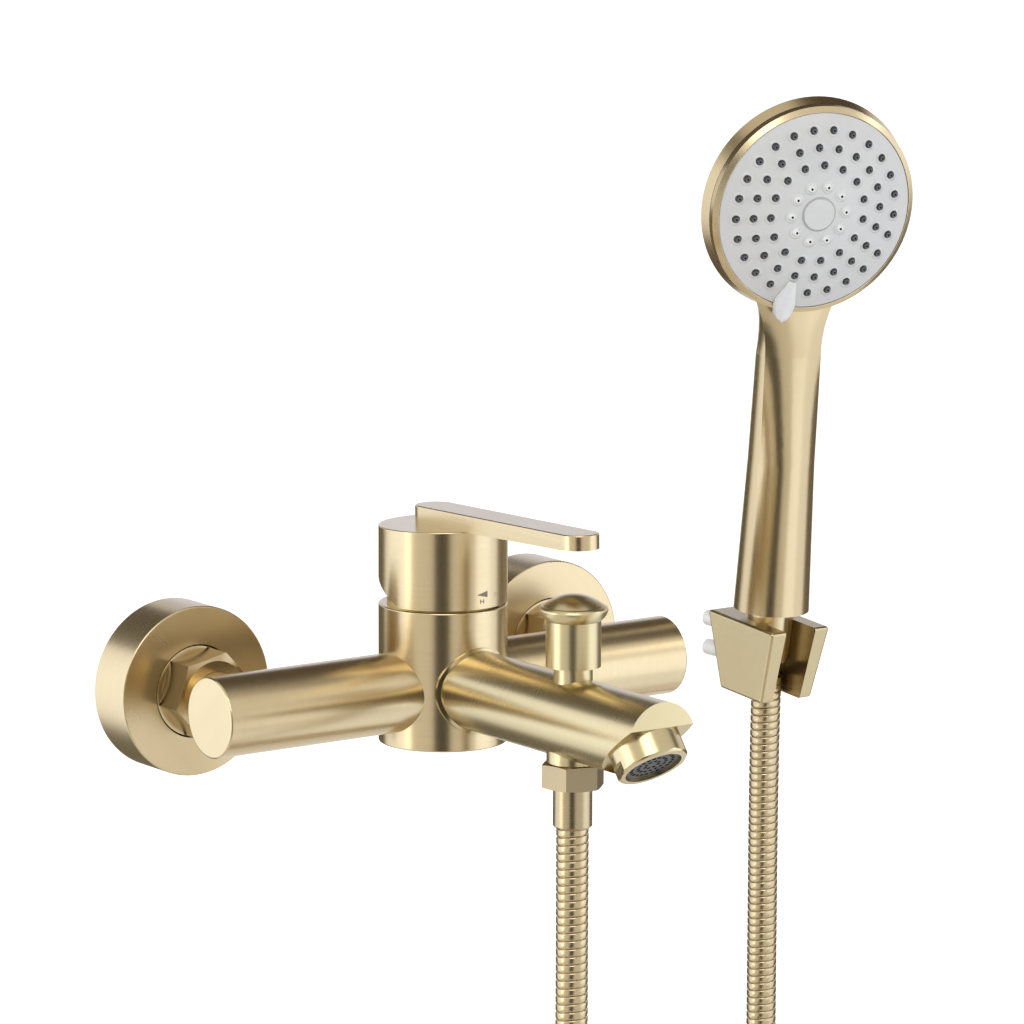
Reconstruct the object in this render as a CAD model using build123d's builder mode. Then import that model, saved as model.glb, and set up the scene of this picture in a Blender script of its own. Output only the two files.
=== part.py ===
from build123d import *
from math import cos, pi, radians, sin, sqrt, tan
import os

os.makedirs("parts", exist_ok=True)

# Wall-mounted bath shower mixer with hand shower, hose and wall bracket.
# Millimetres, +Z up, the wall is the plane y = 0 and the room lies towards -Y.
# The origin is on the wall, midway between the two water outlets of the wall.

# Fits, threads and cuts
thread_clearance = 0.05
slip_clearance = 0.1
seat_gap = 0.15
overrun = 2.0
g12_radius = 10.48
g38_radius = 8.33

# Mixer layout, measured from the wall and from the axis of the two arms
inlet_spacing = 150.0
union_rise = 7.5
body_reach = 59.0
spout_rise = 1.7
diverter_reach = 135.0
tip_past_diverter = 49.5

# Barrel
barrel_radius = 22.3
barrel_top = 29.5
barrel_foot = 19.0
barrel_edge = 0.6
spigot_depth = 3.4
arm_spigot_radius = 10.5
supply_radius = 5.5
supply_drop = 2.0
riser_radius = 3.2
riser_reach = 8.0

# Arms
arm_radius = 13.85
arm_reach = 95.8
arm_edge = 0.8
arm_bore_radius = 7.5
arm_bore_past_inlet = 9.5

# Wall unions, counted from the wall towards the room
stub_length = 15.0
stub_root = 1.0
union_flange_radius = 18.2
union_flange_end = 5.0
union_barrel_radius = 15.5
union_barrel_end = 15.0
union_thread_end = 24.0
union_bore_radius = 7.0
stub_bore_end = 8.0
front_bore_start = 3.0
ring_groove_start = 9.0
ring_width = 2.2
ring_groove_depth = 0.9
washer_thickness = 2.0
nipple_collar_thickness = 2.0
nipple_collar_radius = 10.1
nipple_radius = 8.6
nipple_bore_radius = 6.5
nipple_grip = 5.35
union_nut_flats = 27.0
union_nut_start = 15.7
union_nut_wall = 2.4
union_nut_chamfer = 1.1
valve_start = 31.0
valve_length = 12.0
valve_wall = 1.2
valve_floor = 2.0
valve_hole_radius = 1.3
valve_hole_count = 4

# Escutcheons
escutcheon_radius = 29.6
escutcheon_depth = 18.5
escutcheon_wall = 1.2
escutcheon_hole_radius = 16.3
escutcheon_sleeve_start = 6.5
escutcheon_edge = 0.5

# Spout
spout_radius = 13.87
spout_spigot_radius = 8.5
spout_spigot_depth = 7.5
spout_inlet_radius = 4.2
spout_inlet_rise = -0.6
spout_ring_radius = 15.05
spout_ring_height = 0.9
spout_seal_width = 1.8
spout_seal_depth = 1.1
spout_seal_inset = 3.0
tip_chord_rise = 5.2
tip_slope = 37.3
front_way_radius = 3.2
front_way_to_tip = 7.5
outlet_boss_radius = 8.9
outlet_boss_drop = 0.9

# Aerator, measured down the slanted face from its upper edge
aerator_inset = 12.3
aerator_radius = 12.35
aerator_length = 8.5
aerator_lip = 1.0
aerator_thread_radius = 10.8
aerator_thread_length = 6.0
aerator_washer_thickness = 1.2
aerator_bore_radius = 9.9
aerator_insert_depth = 1.2
aerator_insert_length = 9.0
aerator_hole_radius = 0.7
aerator_hole_count = 8
aerator_hole_rings = 3
aerator_notch_depth = 0.9
aerator_notch_height = 4.0

# Diverter
diverter_travel = 8.0
plug_radius = 5.8
plug_thickness = 3.0
chamber_radius = 6.8
chamber_floor_rise = -7.0
seat_radius = 4.2
seat_thickness = 1.5
upper_chamber_height = 4.4
rod_radius = 1.9
bush_thread_radius = 5.2
bush_neck_radius = 6.55
bush_top_rise = 30.0
knob_sleeve_radius = 9.3
knob_cap_radius = 11.7
knob_foot_rise = 19.6
knob_lip_rise = 35.2
knob_widest_rise = 38.8
knob_top_rise = 44.0
knob_cap_edge = 1.4
knob_bore_radius = 7.2
knob_roof = 4.6
rod_grip = 3.0
spring_wire = 0.7
spring_mean_radius = 3.2
spring_turns = 5
outlet_nipple_radius = 6.4
outlet_nipple_bore = 3.4
outlet_nipple_seat = 1.2

# Cartridge and handle, measured from the axis of the arms
cavity_floor = 12.0
cartridge_radius = 17.4
cartridge_top = 34.0
cartridge_inner_radius = 15.6
cartridge_roof = 2.0
cartridge_neck_radius = 16.0
cartridge_shoulder = 30.0
cartridge_mouth_radius = 9.6
seal_height = 3.0
port_radius = 2.8
disc_radius = 15.2
fixed_disc_height = 2.5
moving_disc_radius = 11.4
moving_disc_height = 2.0
disc_pocket_depth = 1.5
carrier_floor = 21.0
carrier_radius = 15.3
carrier_neck_radius = 9.4
carrier_neck_rise = 1.2
pivot_rise = 26.0
pin_radius = 1.5
pin_length = 24.0
stem_width = 7.0
stem_depth = 7.0
stem_top = 51.5
stem_foot = 18.4
stem_toe_width = 5.0
stem_toe_depth = 4.0
stem_toe_top = 22.0
stem_play = 0.5
lift_angle = 22.0
cartridge_nut_radius = 19.35
cartridge_nut_foot = 24.0
cartridge_nut_top = 32.4

# Handle
dome_gap = 0.8
dome_top = 57.0
dome_wall = 1.7
dome_roof = 4.0
dome_edge = 0.4
relief_start = 4.9
relief_slope = 26.0
dome_boss_radius = 7.4
dome_boss_foot = 40.0
handle_rise = 1.55
lever_width = 13.6
lever_back = 11.7
lever_front = 85.8
lever_root_thickness = 6.0
lever_tip_thickness = 5.2
lever_edge = 0.5
handle_screw_radius = 2.5
handle_screw_rise = 47.6
handle_screw_length = 5.0
cover_radius = 3.0
cover_length = 1.6
blade_screw_radius = 2.0
blade_screw_head_radius = 3.6
blade_screw_head_height = 2.2
blade_screw_depth = 3.6

# Hose and its two ends
hose_radius = 5.5
hose_bore_radius = 3.2
rib_pitch = 2.75
rib_depth = 0.55
hose_nut_flats = 19.0
hose_nut_length = 8.5
hose_nut_wall = 1.6
hose_nut_chamfer = 0.7
hose_nut_turn = 42.0
nut_drop = 0.3
hose_washer_thickness = 1.8
flange_radius = 8.0
flange_thickness = 1.4
flange_neck_radius = 5.6
ferrule_radius = 6.65
ferrule_length = 14.0
ferrule_edge = 1.0
drop_ribs = 26
rib_rise_share = 0.25
rib_crest_share = 0.6
rib_fall_share = 0.85
coil_radius = 66.0
coil_half_turns = 5
coil_pitch = 12.0
coil_centre_drop = 242.5
tie_width = 14.0
tie_wall = 1.2
tie_gap = 0.7

# Wall bracket and the place of the hand shower in it
holder_x = 172.0
holder_reach = 23.1
holder_rise = -1.2
holder_lean = 5.0
holder_height = 28.2
holder_top_half_width = 13.4
holder_foot_half_width = 11.7
holder_top_front = 18.4
holder_top_back = 20.6
holder_foot_front = 12.2
holder_foot_back = 12.4
holder_edge = 1.1
slot_top_half_width = 6.9
slot_foot_half_width = 6.3
cone_top_radius = 8.7
cone_foot_radius = 7.2
cone_length = 19.5
cone_gap = 0.06
wedge_half_width = 6.5
wedge_top_drop = 2.5
wedge_foot_drop = 21.0
bracket_screw_radius = 1.9
bracket_screw_head_radius = 3.6
bracket_screw_head_height = 2.4
bracket_screw_spacing = 11.0
bracket_screw_middle_drop = 11.0
bracket_screw_length = 18.0
plug_wall_radius = 3.0
plug_wall_length = 14.0
plug_recess_depth = 1.0
screw_recess = 3.2

# Hand shower, measured along its handle from the rim of the bracket
handset_turn = 15.6
handle_foot = 4.1
handle_foot_radius = 13.9
handle_middle = 60.0
handle_middle_radius = 12.25
handle_high_drop = 56.0
crease_angle = 66.0
skirt_depth = 14.0
skirt_radius = 12.1
nut_head_radius = 11.6
nut_head_height = 12.4
nut_head_lift = 0.6
waterway_radius = 6.0
neck_way_radius = 4.0
neck_way_drop = 27.0
neck_way_offset = -0.5
panel_drops = (56.0, 42.0, 26.0)
panel_half_widths = (11.0, 12.9, 21.0)
panel_creases = (4.6, 3.9, 3.4)
panel_fronts = (7.8, 6.1, 5.2)
panel_backs = (11.7, 9.6, 6.5)
inlet_stub_bore = 4.5
face_offset = 14.8
face_tilt = 6.7
face_rise = 155.8
head_radius = 40.2
head_front_radius = 38.8
head_band = 8.5
head_depth = 22.0
head_back_radius = 26.0
head_back_depth = 19.6
head_wall = 2.4
cavity_depth = 14.0
trim_width = 2.3
trim_depth = 4.0
trim_proud = 0.3
trim_fall = 1.0
trim_seam = 0.3
trim_sleeve_wall = 1.6
trim_sleeve_end = 6.0
plate_gap = 0.2
plate_thickness = 2.4
plate_crown = 4.7
plate_hub_radius = 5.0
nozzle_radius = 1.4
nozzle_proud = 1.0
nozzle_ring_radii = (18.1, 24.4, 30.7)
nozzle_ring_counts = (15, 20, 25)
white_ring_radius = 10.4
white_nozzle_count = 10
first_nozzle_angle = 112.4
hidden_nozzle = 15
nozzle_tip_radius = 0.95
nozzle_hole_radius = 0.4
mat_thickness = 1.4
mat_edge_gap = 0.4
black_mat_inner_radius = 14.4
white_mat_radius = 13.6
cap_radius = 5.8
cap_height = 0.5
cap_depth = 0.9
distributor_thickness = 2.0
distributor_hole_radius = 1.6
distributor_hole_count = 12
distributor_hole_circle = 22.0
distributor_boss_radius = 4.0
centre_screw_radius = 1.75
centre_screw_head_radius = 3.4
centre_screw_head_height = 1.6
centre_screw_length = 15.7
tab_width = 7.2
tab_inner_radius = 26.8
tab_widest_radius = 34.8
tab_outer_radius = 42.0
tab_inner_width = 2.8
tab_height = 5.4
tab_root_height = 1.0

# Worked out places and frames
axis_z = union_rise
spout_tip_reach = diverter_reach + tip_past_diverter
half_spacing = inlet_spacing / 2
spout_z = axis_z + spout_rise
diverter_z = axis_z


def upright(x, y, z):
    """A frame at a point, with its Z axis straight up."""
    return Plane(origin=(x, y, z), x_dir=(1, 0, 0), z_dir=(0, 0, 1))


def outward(x, y, z):
    """A frame at a point, with its Z axis away from the wall."""
    return Plane(origin=(x, y, z), x_dir=(1, 0, 0), z_dir=(0, -1, 0))


def turned(frame, outline, mode=Mode.ADD):
    """Turns a closed outline of (radius, height) points about the frame's Z axis."""
    section = Plane(origin=frame.origin, x_dir=frame.x_dir, z_dir=-frame.y_dir)
    with BuildSketch(section) as profile:
        with BuildLine():
            Polyline(*outline, close=True)
        make_face()
    revolve(profile.sketch, axis=Axis(frame.origin, frame.z_dir), mode=mode)


def rod(frame, radius, start, end, mode=Mode.ADD):
    """A plain round bar or hole along the frame's Z axis."""
    with BuildSketch(frame.offset(start)) as disc:
        Circle(radius)
    extrude(disc.sketch, amount=end - start, mode=mode)


def tube(frame, outer, inner, start, end, mode=Mode.ADD):
    """A plain round tube along the frame's Z axis."""
    with BuildSketch(frame.offset(start)) as annulus:
        Circle(outer)
        Circle(inner, mode=Mode.SUBTRACT)
    extrude(annulus.sketch, amount=end - start, mode=mode)


def hexagon(frame, flats, start, end, chamfer_length, turn=0):
    """A hexagonal bar with its corners turned off at both ends."""
    corner = flats / sqrt(3)
    with BuildSketch(frame.offset(start)) as hexagonal:
        RegularPolygon(corner, 6, rotation=turn)
    extrude(hexagonal.sketch, amount=end - start)
    slack = corner - flats / 2
    flat_radius = flats / 2 - slack / 2
    rise = min(chamfer_length, (end - start) / 2)
    outline = [
        (0, start),
        (flat_radius, start),
        (corner + slack, start + rise),
        (corner + slack, end - rise),
        (flat_radius, end),
        (0, end),
    ]
    turned(frame, outline, mode=Mode.INTERSECT)


def spun(frame, angle):
    """The frame turned about its own Z axis by an angle in degrees."""
    way = radians(angle)
    return Plane(
        origin=frame.origin,
        x_dir=frame.x_dir * cos(way) + frame.y_dir * sin(way),
        z_dir=frame.z_dir,
    )


def dome_middle(width, foot, top):
    """Middle point of a shallow round dome, from its rim at foot to its crown at top."""
    rise = top - foot
    ball = (width**2 + rise**2) / (2 * rise)
    drop = abs(ball) - sqrt(ball**2 - width**2 / 4)
    return (width / 2, top - drop if rise > 0 else top + drop)


def crowned(frame, radius, foot, rim, crown):
    """A round plate with a flat back and a front that rises to a shallow dome."""
    section = Plane(origin=frame.origin, x_dir=frame.x_dir, z_dir=-frame.y_dir)
    with BuildSketch(section) as profile:
        with BuildLine():
            Polyline((0, crown), (0, foot), (radius, foot), (radius, rim))
            ThreePointArc((radius, rim), dome_middle(radius, rim, crown), (0, crown))
        make_face()
    revolve(profile.sketch, axis=Axis(frame.origin, frame.z_dir))


def save(piece, name):
    """Labels a finished piece and writes it under its own name."""
    piece.label = name
    export_step(piece, f"parts/{name}.step")


body_frame = upright(0, -body_reach, axis_z)
spout_frame = outward(0, -body_reach, spout_z)
diverter_frame = upright(0, -diverter_reach, diverter_z)
union_frames = [outward(side * half_spacing, 0, axis_z) for side in (-1, 1)]

# Barrel of the mixer, with the cartridge cavity, its three ways and the sockets
with BuildPart() as mixer_body:
    rod(body_frame, barrel_radius, -barrel_foot, barrel_top)
    fillet(mixer_body.edges().group_by(Axis.Z)[0], radius=barrel_edge)
    fillet(mixer_body.edges().group_by(Axis.Z)[-1], radius=barrel_edge)
    rod(body_frame, cartridge_radius + slip_clearance, cavity_floor, barrel_top, mode=Mode.SUBTRACT)
    nut_bore = cartridge_nut_radius + thread_clearance
    rod(body_frame, nut_bore, cartridge_nut_foot - seat_gap, barrel_top, mode=Mode.SUBTRACT)
    for side in (-1, 1):
        arm_frame = Plane(origin=body_frame.origin, x_dir=(0, 1, 0), z_dir=(side, 0, 0))
        socket_floor = barrel_radius - spigot_depth
        socket_radius = arm_spigot_radius + thread_clearance
        rod(arm_frame, socket_radius, socket_floor, barrel_radius + overrun, mode=Mode.SUBTRACT)
        supply_frame = Plane(
            origin=(0, -body_reach, axis_z - supply_drop), x_dir=(0, 1, 0), z_dir=(side, 0, 0)
        )
        rod(supply_frame, supply_radius, riser_reach, socket_floor, mode=Mode.SUBTRACT)
        riser_frame = upright(side * riser_reach, -body_reach, axis_z)
        rod(riser_frame, riser_radius, -supply_drop, cavity_floor, mode=Mode.SUBTRACT)
    outlet_frame = upright(0, -body_reach - riser_reach, axis_z)
    rod(outlet_frame, riser_radius, spout_inlet_rise, cavity_floor, mode=Mode.SUBTRACT)
    way_frame = outward(0, -body_reach, axis_z + spout_inlet_rise)
    rod(way_frame, spout_inlet_radius, riser_reach, barrel_radius, mode=Mode.SUBTRACT)
    spigot_floor = barrel_radius - spout_spigot_depth - seat_gap
    spout_socket = spout_spigot_radius + thread_clearance
    rod(spout_frame, spout_socket, spigot_floor, barrel_radius + overrun, mode=Mode.SUBTRACT)
save(mixer_body.part, "mixer_body")

# Two arms with closed outer ends, seated on the barrel with a spigot each
inlet_hole_radius = nipple_radius + thread_clearance
for side, name in ((-1, "hot_arm"), (1, "cold_arm")):
    arm_frame = Plane(origin=body_frame.origin, x_dir=(0, 1, 0), z_dir=(side, 0, 0))
    spigot_start = barrel_radius - spigot_depth + seat_gap
    with BuildPart() as arm:
        rod(arm_frame, arm_radius, 0, arm_reach)
        outer_end = Axis((0, 0, 0), (side, 0, 0))
        fillet(arm.edges().group_by(outer_end)[-1], radius=arm_edge)
        rod(body_frame, barrel_radius, -barrel_foot, barrel_top, mode=Mode.SUBTRACT)
        rod(arm_frame, arm_spigot_radius, spigot_start, barrel_radius)
        bore_end = half_spacing + arm_bore_past_inlet
        rod(arm_frame, arm_bore_radius, 0, bore_end, mode=Mode.SUBTRACT)
        inlet_frame = outward(side * half_spacing, 0, axis_z)
        rod(inlet_frame, inlet_hole_radius, body_reach - arm_radius - overrun, body_reach, mode=Mode.SUBTRACT)
    save(arm.part, name)

# Eccentric wall unions: threaded stub in the wall, flange, barrel with a groove, outer thread
for side, name in ((-1, "hot_union"), (1, "cold_union")):
    stub_frame = outward(side * half_spacing, 0, 0)
    union_frame = outward(side * half_spacing, 0, axis_z)
    with BuildPart() as wall_union:
        rod(stub_frame, g12_radius, -stub_length, union_flange_end)
        rod(union_frame, union_flange_radius, stub_root, union_flange_end)
        rod(union_frame, union_barrel_radius, union_flange_end, union_barrel_end)
        rod(union_frame, g12_radius, union_barrel_end, union_thread_end)
        groove_floor = union_barrel_radius - ring_groove_depth
        groove_end = ring_groove_start + ring_width
        tube(
            union_frame,
            union_barrel_radius + overrun,
            groove_floor,
            ring_groove_start,
            groove_end,
            mode=Mode.SUBTRACT,
        )
        rod(stub_frame, union_bore_radius, -stub_length, stub_bore_end, mode=Mode.SUBTRACT)
        rod(union_frame, union_bore_radius, front_bore_start, union_thread_end, mode=Mode.SUBTRACT)
    save(wall_union.part, name)

# Rubber rings that hold the escutcheons on the unions
with BuildPart() as escutcheon_rings:
    for union_frame in union_frames:
        tube(
            union_frame,
            escutcheon_hole_radius - thread_clearance,
            union_barrel_radius - ring_groove_depth + thread_clearance,
            ring_groove_start + thread_clearance,
            ring_groove_start + ring_width - thread_clearance,
        )
save(escutcheon_rings.part, "escutcheon_rings")

# Cup-shaped escutcheons with an inner sleeve
for side, name in ((-1, "hot_escutcheon"), (1, "cold_escutcheon")):
    union_frame = outward(side * half_spacing, 0, axis_z)
    inner_face = escutcheon_depth - escutcheon_wall
    shell_inner = escutcheon_radius - escutcheon_wall
    sleeve_outer = escutcheon_hole_radius + escutcheon_wall
    outline = [
        (shell_inner, 0),
        (escutcheon_radius, 0),
        (escutcheon_radius, escutcheon_depth),
        (escutcheon_hole_radius, escutcheon_depth),
        (escutcheon_hole_radius, escutcheon_sleeve_start),
        (sleeve_outer, escutcheon_sleeve_start),
        (sleeve_outer, inner_face),
        (shell_inner, inner_face),
    ]
    with BuildPart() as escutcheon:
        turned(union_frame, outline)
        rim = escutcheon.edges().group_by(Axis.Y)[0].sort_by(SortBy.RADIUS)[-1]
        fillet(rim, radius=escutcheon_edge)
    save(escutcheon.part, name)

# Filter washers between the unions and the nipples
washer_end = union_thread_end + washer_thickness
with BuildPart() as filter_washers:
    for union_frame in union_frames:
        tube(union_frame, nipple_collar_radius, nipple_bore_radius, union_thread_end, washer_end)
save(filter_washers.part, "filter_washers")

# Collared inlet nipples, screwed into the arms
collar_end = washer_end + nipple_collar_thickness
nipple_end = body_reach - arm_radius + nipple_grip
with BuildPart() as inlet_nipples:
    for union_frame in union_frames:
        rod(union_frame, nipple_collar_radius, washer_end, collar_end)
        rod(union_frame, nipple_radius, collar_end, nipple_end)
        rod(union_frame, nipple_bore_radius, washer_end, nipple_end, mode=Mode.SUBTRACT)
save(inlet_nipples.part, "inlet_nipples")

# Non-return valves in the nipples
valve_radius = nipple_bore_radius - slip_clearance
with BuildPart() as check_valves:
    for union_frame in union_frames:
        rod(union_frame, valve_radius, valve_start, valve_start + valve_length)
        valve_core = valve_radius - valve_wall
        valve_cup = valve_start + valve_floor
        rod(union_frame, valve_core, valve_cup, valve_start + valve_length, mode=Mode.SUBTRACT)
        with BuildSketch(union_frame.offset(valve_start)) as valve_holes:
            with PolarLocations(valve_core - valve_hole_radius - valve_wall / 2, valve_hole_count):
                Circle(valve_hole_radius)
        extrude(valve_holes.sketch, amount=valve_floor, mode=Mode.SUBTRACT)
save(check_valves.part, "check_valves")

# Union nuts, held by the collars of the nipples
nut_shoulder = collar_end + thread_clearance
union_nut_end = nut_shoulder + union_nut_wall
nut_parts = []
for union_frame in union_frames:
    with BuildPart() as union_nut:
        hexagon(union_frame, union_nut_flats, union_nut_start, union_nut_end, union_nut_chamfer, turn=12)
        thread_bore = g12_radius + thread_clearance
        rod(union_frame, thread_bore, union_nut_start, nut_shoulder, mode=Mode.SUBTRACT)
        rod(union_frame, nipple_radius + slip_clearance, nut_shoulder, union_nut_end, mode=Mode.SUBTRACT)
    nut_parts.append(union_nut.part)
with BuildPart() as union_nuts:
    add(nut_parts)
save(union_nuts.part, "union_nuts")

# Spout: a round tube with a flat half-moon tip and a slanted face for the aerator
slope = radians(tip_slope)
tip_front = spout_tip_reach - body_reach
tip_edge_point = Vector(0, -spout_tip_reach, spout_z + tip_chord_rise)
down_slope = Vector(0, cos(slope), -sin(slope))
aerator_normal = Vector(0, -sin(slope), -cos(slope))
aerator_origin = tip_edge_point + down_slope * aerator_inset
aerator_frame = Plane(origin=aerator_origin, x_dir=(1, 0, 0), z_dir=aerator_normal)
slant_frame = Plane(origin=tip_edge_point, x_dir=(1, 0, 0), z_dir=aerator_normal)
chamber_height = diverter_travel + plug_thickness + 2 * seat_gap
chamber_roof_rise = chamber_floor_rise + chamber_height
upper_floor_rise = chamber_roof_rise + seat_thickness
upper_roof_rise = upper_floor_rise + upper_chamber_height
boss_foot_rise = spout_rise - spout_radius - outlet_boss_drop
with BuildPart() as spout:
    rod(spout_frame, spout_radius, 0, tip_front)
    cut_size = 4 * spout_radius
    with BuildSketch(slant_frame) as slant:
        Rectangle(cut_size, cut_size)
    extrude(slant.sketch, amount=cut_size, mode=Mode.SUBTRACT)
    rod(body_frame, barrel_radius, -barrel_foot - overrun, barrel_top, mode=Mode.SUBTRACT)
    spigot_tip = barrel_radius - spout_spigot_depth
    rod(spout_frame, spout_spigot_radius, spigot_tip, barrel_radius)
    rod(diverter_frame, outlet_boss_radius, boss_foot_rise, spout_rise)
    seal_floor = spout_spigot_radius - spout_seal_depth
    seal_start = spigot_tip + spout_seal_inset
    tube(
        spout_frame,
        spout_spigot_radius + thread_clearance,
        seal_floor,
        seal_start,
        seal_start + spout_seal_width,
        mode=Mode.SUBTRACT,
    )
    inlet_frame = outward(0, -body_reach, axis_z + spout_inlet_rise)
    rod(inlet_frame, spout_inlet_radius, spigot_tip, diverter_reach - body_reach, mode=Mode.SUBTRACT)
    rod(diverter_frame, chamber_radius, chamber_floor_rise, chamber_roof_rise, mode=Mode.SUBTRACT)
    rod(diverter_frame, seat_radius, chamber_roof_rise, upper_floor_rise, mode=Mode.SUBTRACT)
    rod(diverter_frame, chamber_radius, upper_floor_rise, upper_roof_rise, mode=Mode.SUBTRACT)
    bush_hole = bush_thread_radius + thread_clearance
    rod(diverter_frame, bush_hole, upper_roof_rise, spout_radius + spout_rise + overrun, mode=Mode.SUBTRACT)
    front_way_frame = outward(0, -diverter_reach, axis_z + upper_floor_rise + front_way_radius)
    rod(front_way_frame, front_way_radius, 0, tip_past_diverter - front_way_to_tip, mode=Mode.SUBTRACT)
    aerator_hole = aerator_thread_radius + thread_clearance
    aerator_depth = aerator_thread_length + aerator_washer_thickness
    rod(aerator_frame, aerator_hole, -aerator_depth, overrun, mode=Mode.SUBTRACT)
    nipple_top_rise = chamber_floor_rise - outlet_nipple_seat
    rod(diverter_frame, seat_radius, nipple_top_rise, chamber_floor_rise, mode=Mode.SUBTRACT)
    nipple_hole = outlet_nipple_radius + thread_clearance
    rod(diverter_frame, nipple_hole, boss_foot_rise, nipple_top_rise, mode=Mode.SUBTRACT)
save(spout.part, "spout")

# Bright ring round the root of the spout, following the barrel
ring_reach = barrel_radius + spout_ring_height
with BuildPart() as spout_ring:
    tube(spout_frame, spout_ring_radius, spout_radius + thread_clearance, 0, ring_reach)
    rod(body_frame, ring_reach, -barrel_foot, barrel_top, mode=Mode.INTERSECT)
    rod(body_frame, barrel_radius, -barrel_foot - overrun, barrel_top + overrun, mode=Mode.SUBTRACT)
save(spout_ring.part, "spout_ring")

# Seal on the spigot of the spout
with BuildPart() as spout_seal:
    tube(
        spout_frame,
        spout_spigot_radius,
        seal_floor + thread_clearance,
        seal_start + thread_clearance,
        seal_start + spout_seal_width - thread_clearance,
    )
save(spout_seal.part, "spout_seal")

# Aerator: screwed housing, washer and the insert with its holes
with BuildPart() as aerator_housing:
    rod(aerator_frame, aerator_thread_radius, -aerator_thread_length, 0)
    rod(aerator_frame, aerator_radius, 0, aerator_length)
    lower_rims = aerator_housing.edges().filter_by(GeomType.CIRCLE)
    lower_rim = lower_rims.sort_by(Axis(aerator_origin, aerator_normal))[-1]
    fillet(lower_rim, radius=aerator_lip)
    notch_frame = aerator_frame.offset(aerator_length - aerator_notch_height)
    with BuildSketch(notch_frame) as notches:
        with PolarLocations(aerator_radius, 2, start_angle=198):
            Rectangle(2 * aerator_notch_depth, aerator_radius)
    extrude(notches.sketch, amount=aerator_notch_height, mode=Mode.SUBTRACT)
    rod(aerator_frame, aerator_bore_radius, -aerator_thread_length, aerator_length, mode=Mode.SUBTRACT)
save(aerator_housing.part, "aerator_housing")

with BuildPart() as aerator_washer:
    tube(
        aerator_frame,
        aerator_thread_radius,
        aerator_bore_radius - aerator_washer_thickness,
        -aerator_depth,
        -aerator_thread_length,
    )
save(aerator_washer.part, "aerator_washer")

insert_end = aerator_length - aerator_insert_depth
insert_radius = aerator_bore_radius - thread_clearance
with BuildPart() as aerator_insert:
    rod(aerator_frame, insert_radius, insert_end - aerator_insert_length, insert_end)
    ring_step = insert_radius / (aerator_hole_rings + 1)
    with BuildSketch(aerator_frame.offset(insert_end - aerator_insert_length)) as jets:
        for ring in range(1, aerator_hole_rings + 1):
            with PolarLocations(ring * ring_step, ring * aerator_hole_count):
                Circle(aerator_hole_radius)
    extrude(jets.sketch, amount=aerator_insert_length, mode=Mode.SUBTRACT)
save(aerator_insert.part, "aerator_insert")

# Diverter: bush on the spout, rod, plug and the lifting knob
bush_foot = upper_roof_rise
bush_clear = rod_radius + slip_clearance
with BuildPart() as diverter_bush:
    rod(diverter_frame, bush_neck_radius, spout_rise, bush_top_rise)
    rod(spout_frame, spout_radius, 0, tip_front, mode=Mode.SUBTRACT)
    rod(diverter_frame, bush_thread_radius, bush_foot, spout_rise + spout_radius)
    rod(diverter_frame, bush_clear, bush_foot, bush_top_rise, mode=Mode.SUBTRACT)
save(diverter_bush.part, "diverter_bush")

plug_foot = chamber_floor_rise + seat_gap
plug_top = plug_foot + plug_thickness
rod_foot = plug_foot
knob_roof_rise = knob_top_rise - knob_roof
rod_top = knob_roof_rise + rod_grip
with BuildPart() as diverter_rod:
    rod(diverter_frame, rod_radius, rod_foot, rod_top)
save(diverter_rod.part, "diverter_rod")

with BuildPart() as diverter_plug:
    tube(diverter_frame, plug_radius, rod_radius + thread_clearance, plug_foot, plug_top)
save(diverter_plug.part, "diverter_plug")

# The cap swells out over a neck and closes with a shallow dome
with BuildPart() as diverter_knob:
    section = Plane(
        origin=diverter_frame.origin, x_dir=diverter_frame.x_dir, z_dir=-diverter_frame.y_dir
    )
    cap_turn = (knob_cap_radius, knob_widest_rise)
    with BuildSketch(section) as knob_profile:
        with BuildLine():
            Line((0, knob_foot_rise), (knob_sleeve_radius, knob_foot_rise))
            Line((knob_sleeve_radius, knob_foot_rise), (knob_sleeve_radius, knob_lip_rise))
            neck_end = (knob_sleeve_radius, knob_lip_rise)
            ThreePointArc(
                neck_end,
                (knob_cap_radius - knob_cap_edge / 2, (knob_lip_rise + knob_widest_rise) / 2),
                cap_turn,
            )
            shoulder = (knob_cap_radius - knob_cap_edge, knob_widest_rise + knob_cap_edge)
            ThreePointArc(
                cap_turn,
                (knob_cap_radius - knob_cap_edge / 3, knob_widest_rise + knob_cap_edge * 2 / 3),
                shoulder,
            )
            crown = dome_middle(shoulder[0], shoulder[1], knob_top_rise)
            ThreePointArc(shoulder, crown, (0, knob_top_rise))
            Line((0, knob_top_rise), (0, knob_foot_rise))
        make_face()
    revolve(knob_profile.sketch, axis=Axis(diverter_frame.origin, (0, 0, 1)))
    rod(diverter_frame, knob_bore_radius, knob_foot_rise, knob_roof_rise, mode=Mode.SUBTRACT)
    rod_hole = rod_radius + thread_clearance
    rod(diverter_frame, rod_hole, knob_roof_rise, rod_top + thread_clearance, mode=Mode.SUBTRACT)
save(diverter_knob.part, "diverter_knob")


def tangent_arcs(start, start_direction, end, end_direction):
    """Two arcs, tangent to each other and to both ends, from one point to another."""
    span = end - start
    both = start_direction + end_direction
    squared = both.dot(both) - 4
    linear = -2 * span.dot(both)
    constant = span.dot(span)
    if abs(squared) < 1e-9:
        reach = -constant / linear
    else:
        reach = (-linear - sqrt(linear * linear - 4 * squared * constant)) / (2 * squared)
    first = start + start_direction * reach
    last = end - end_direction * reach
    joint = (first + last) * 0.5
    TangentArc(start, joint, tangent=start_direction)
    TangentArc(joint, end, tangent=joint - first)


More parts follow.
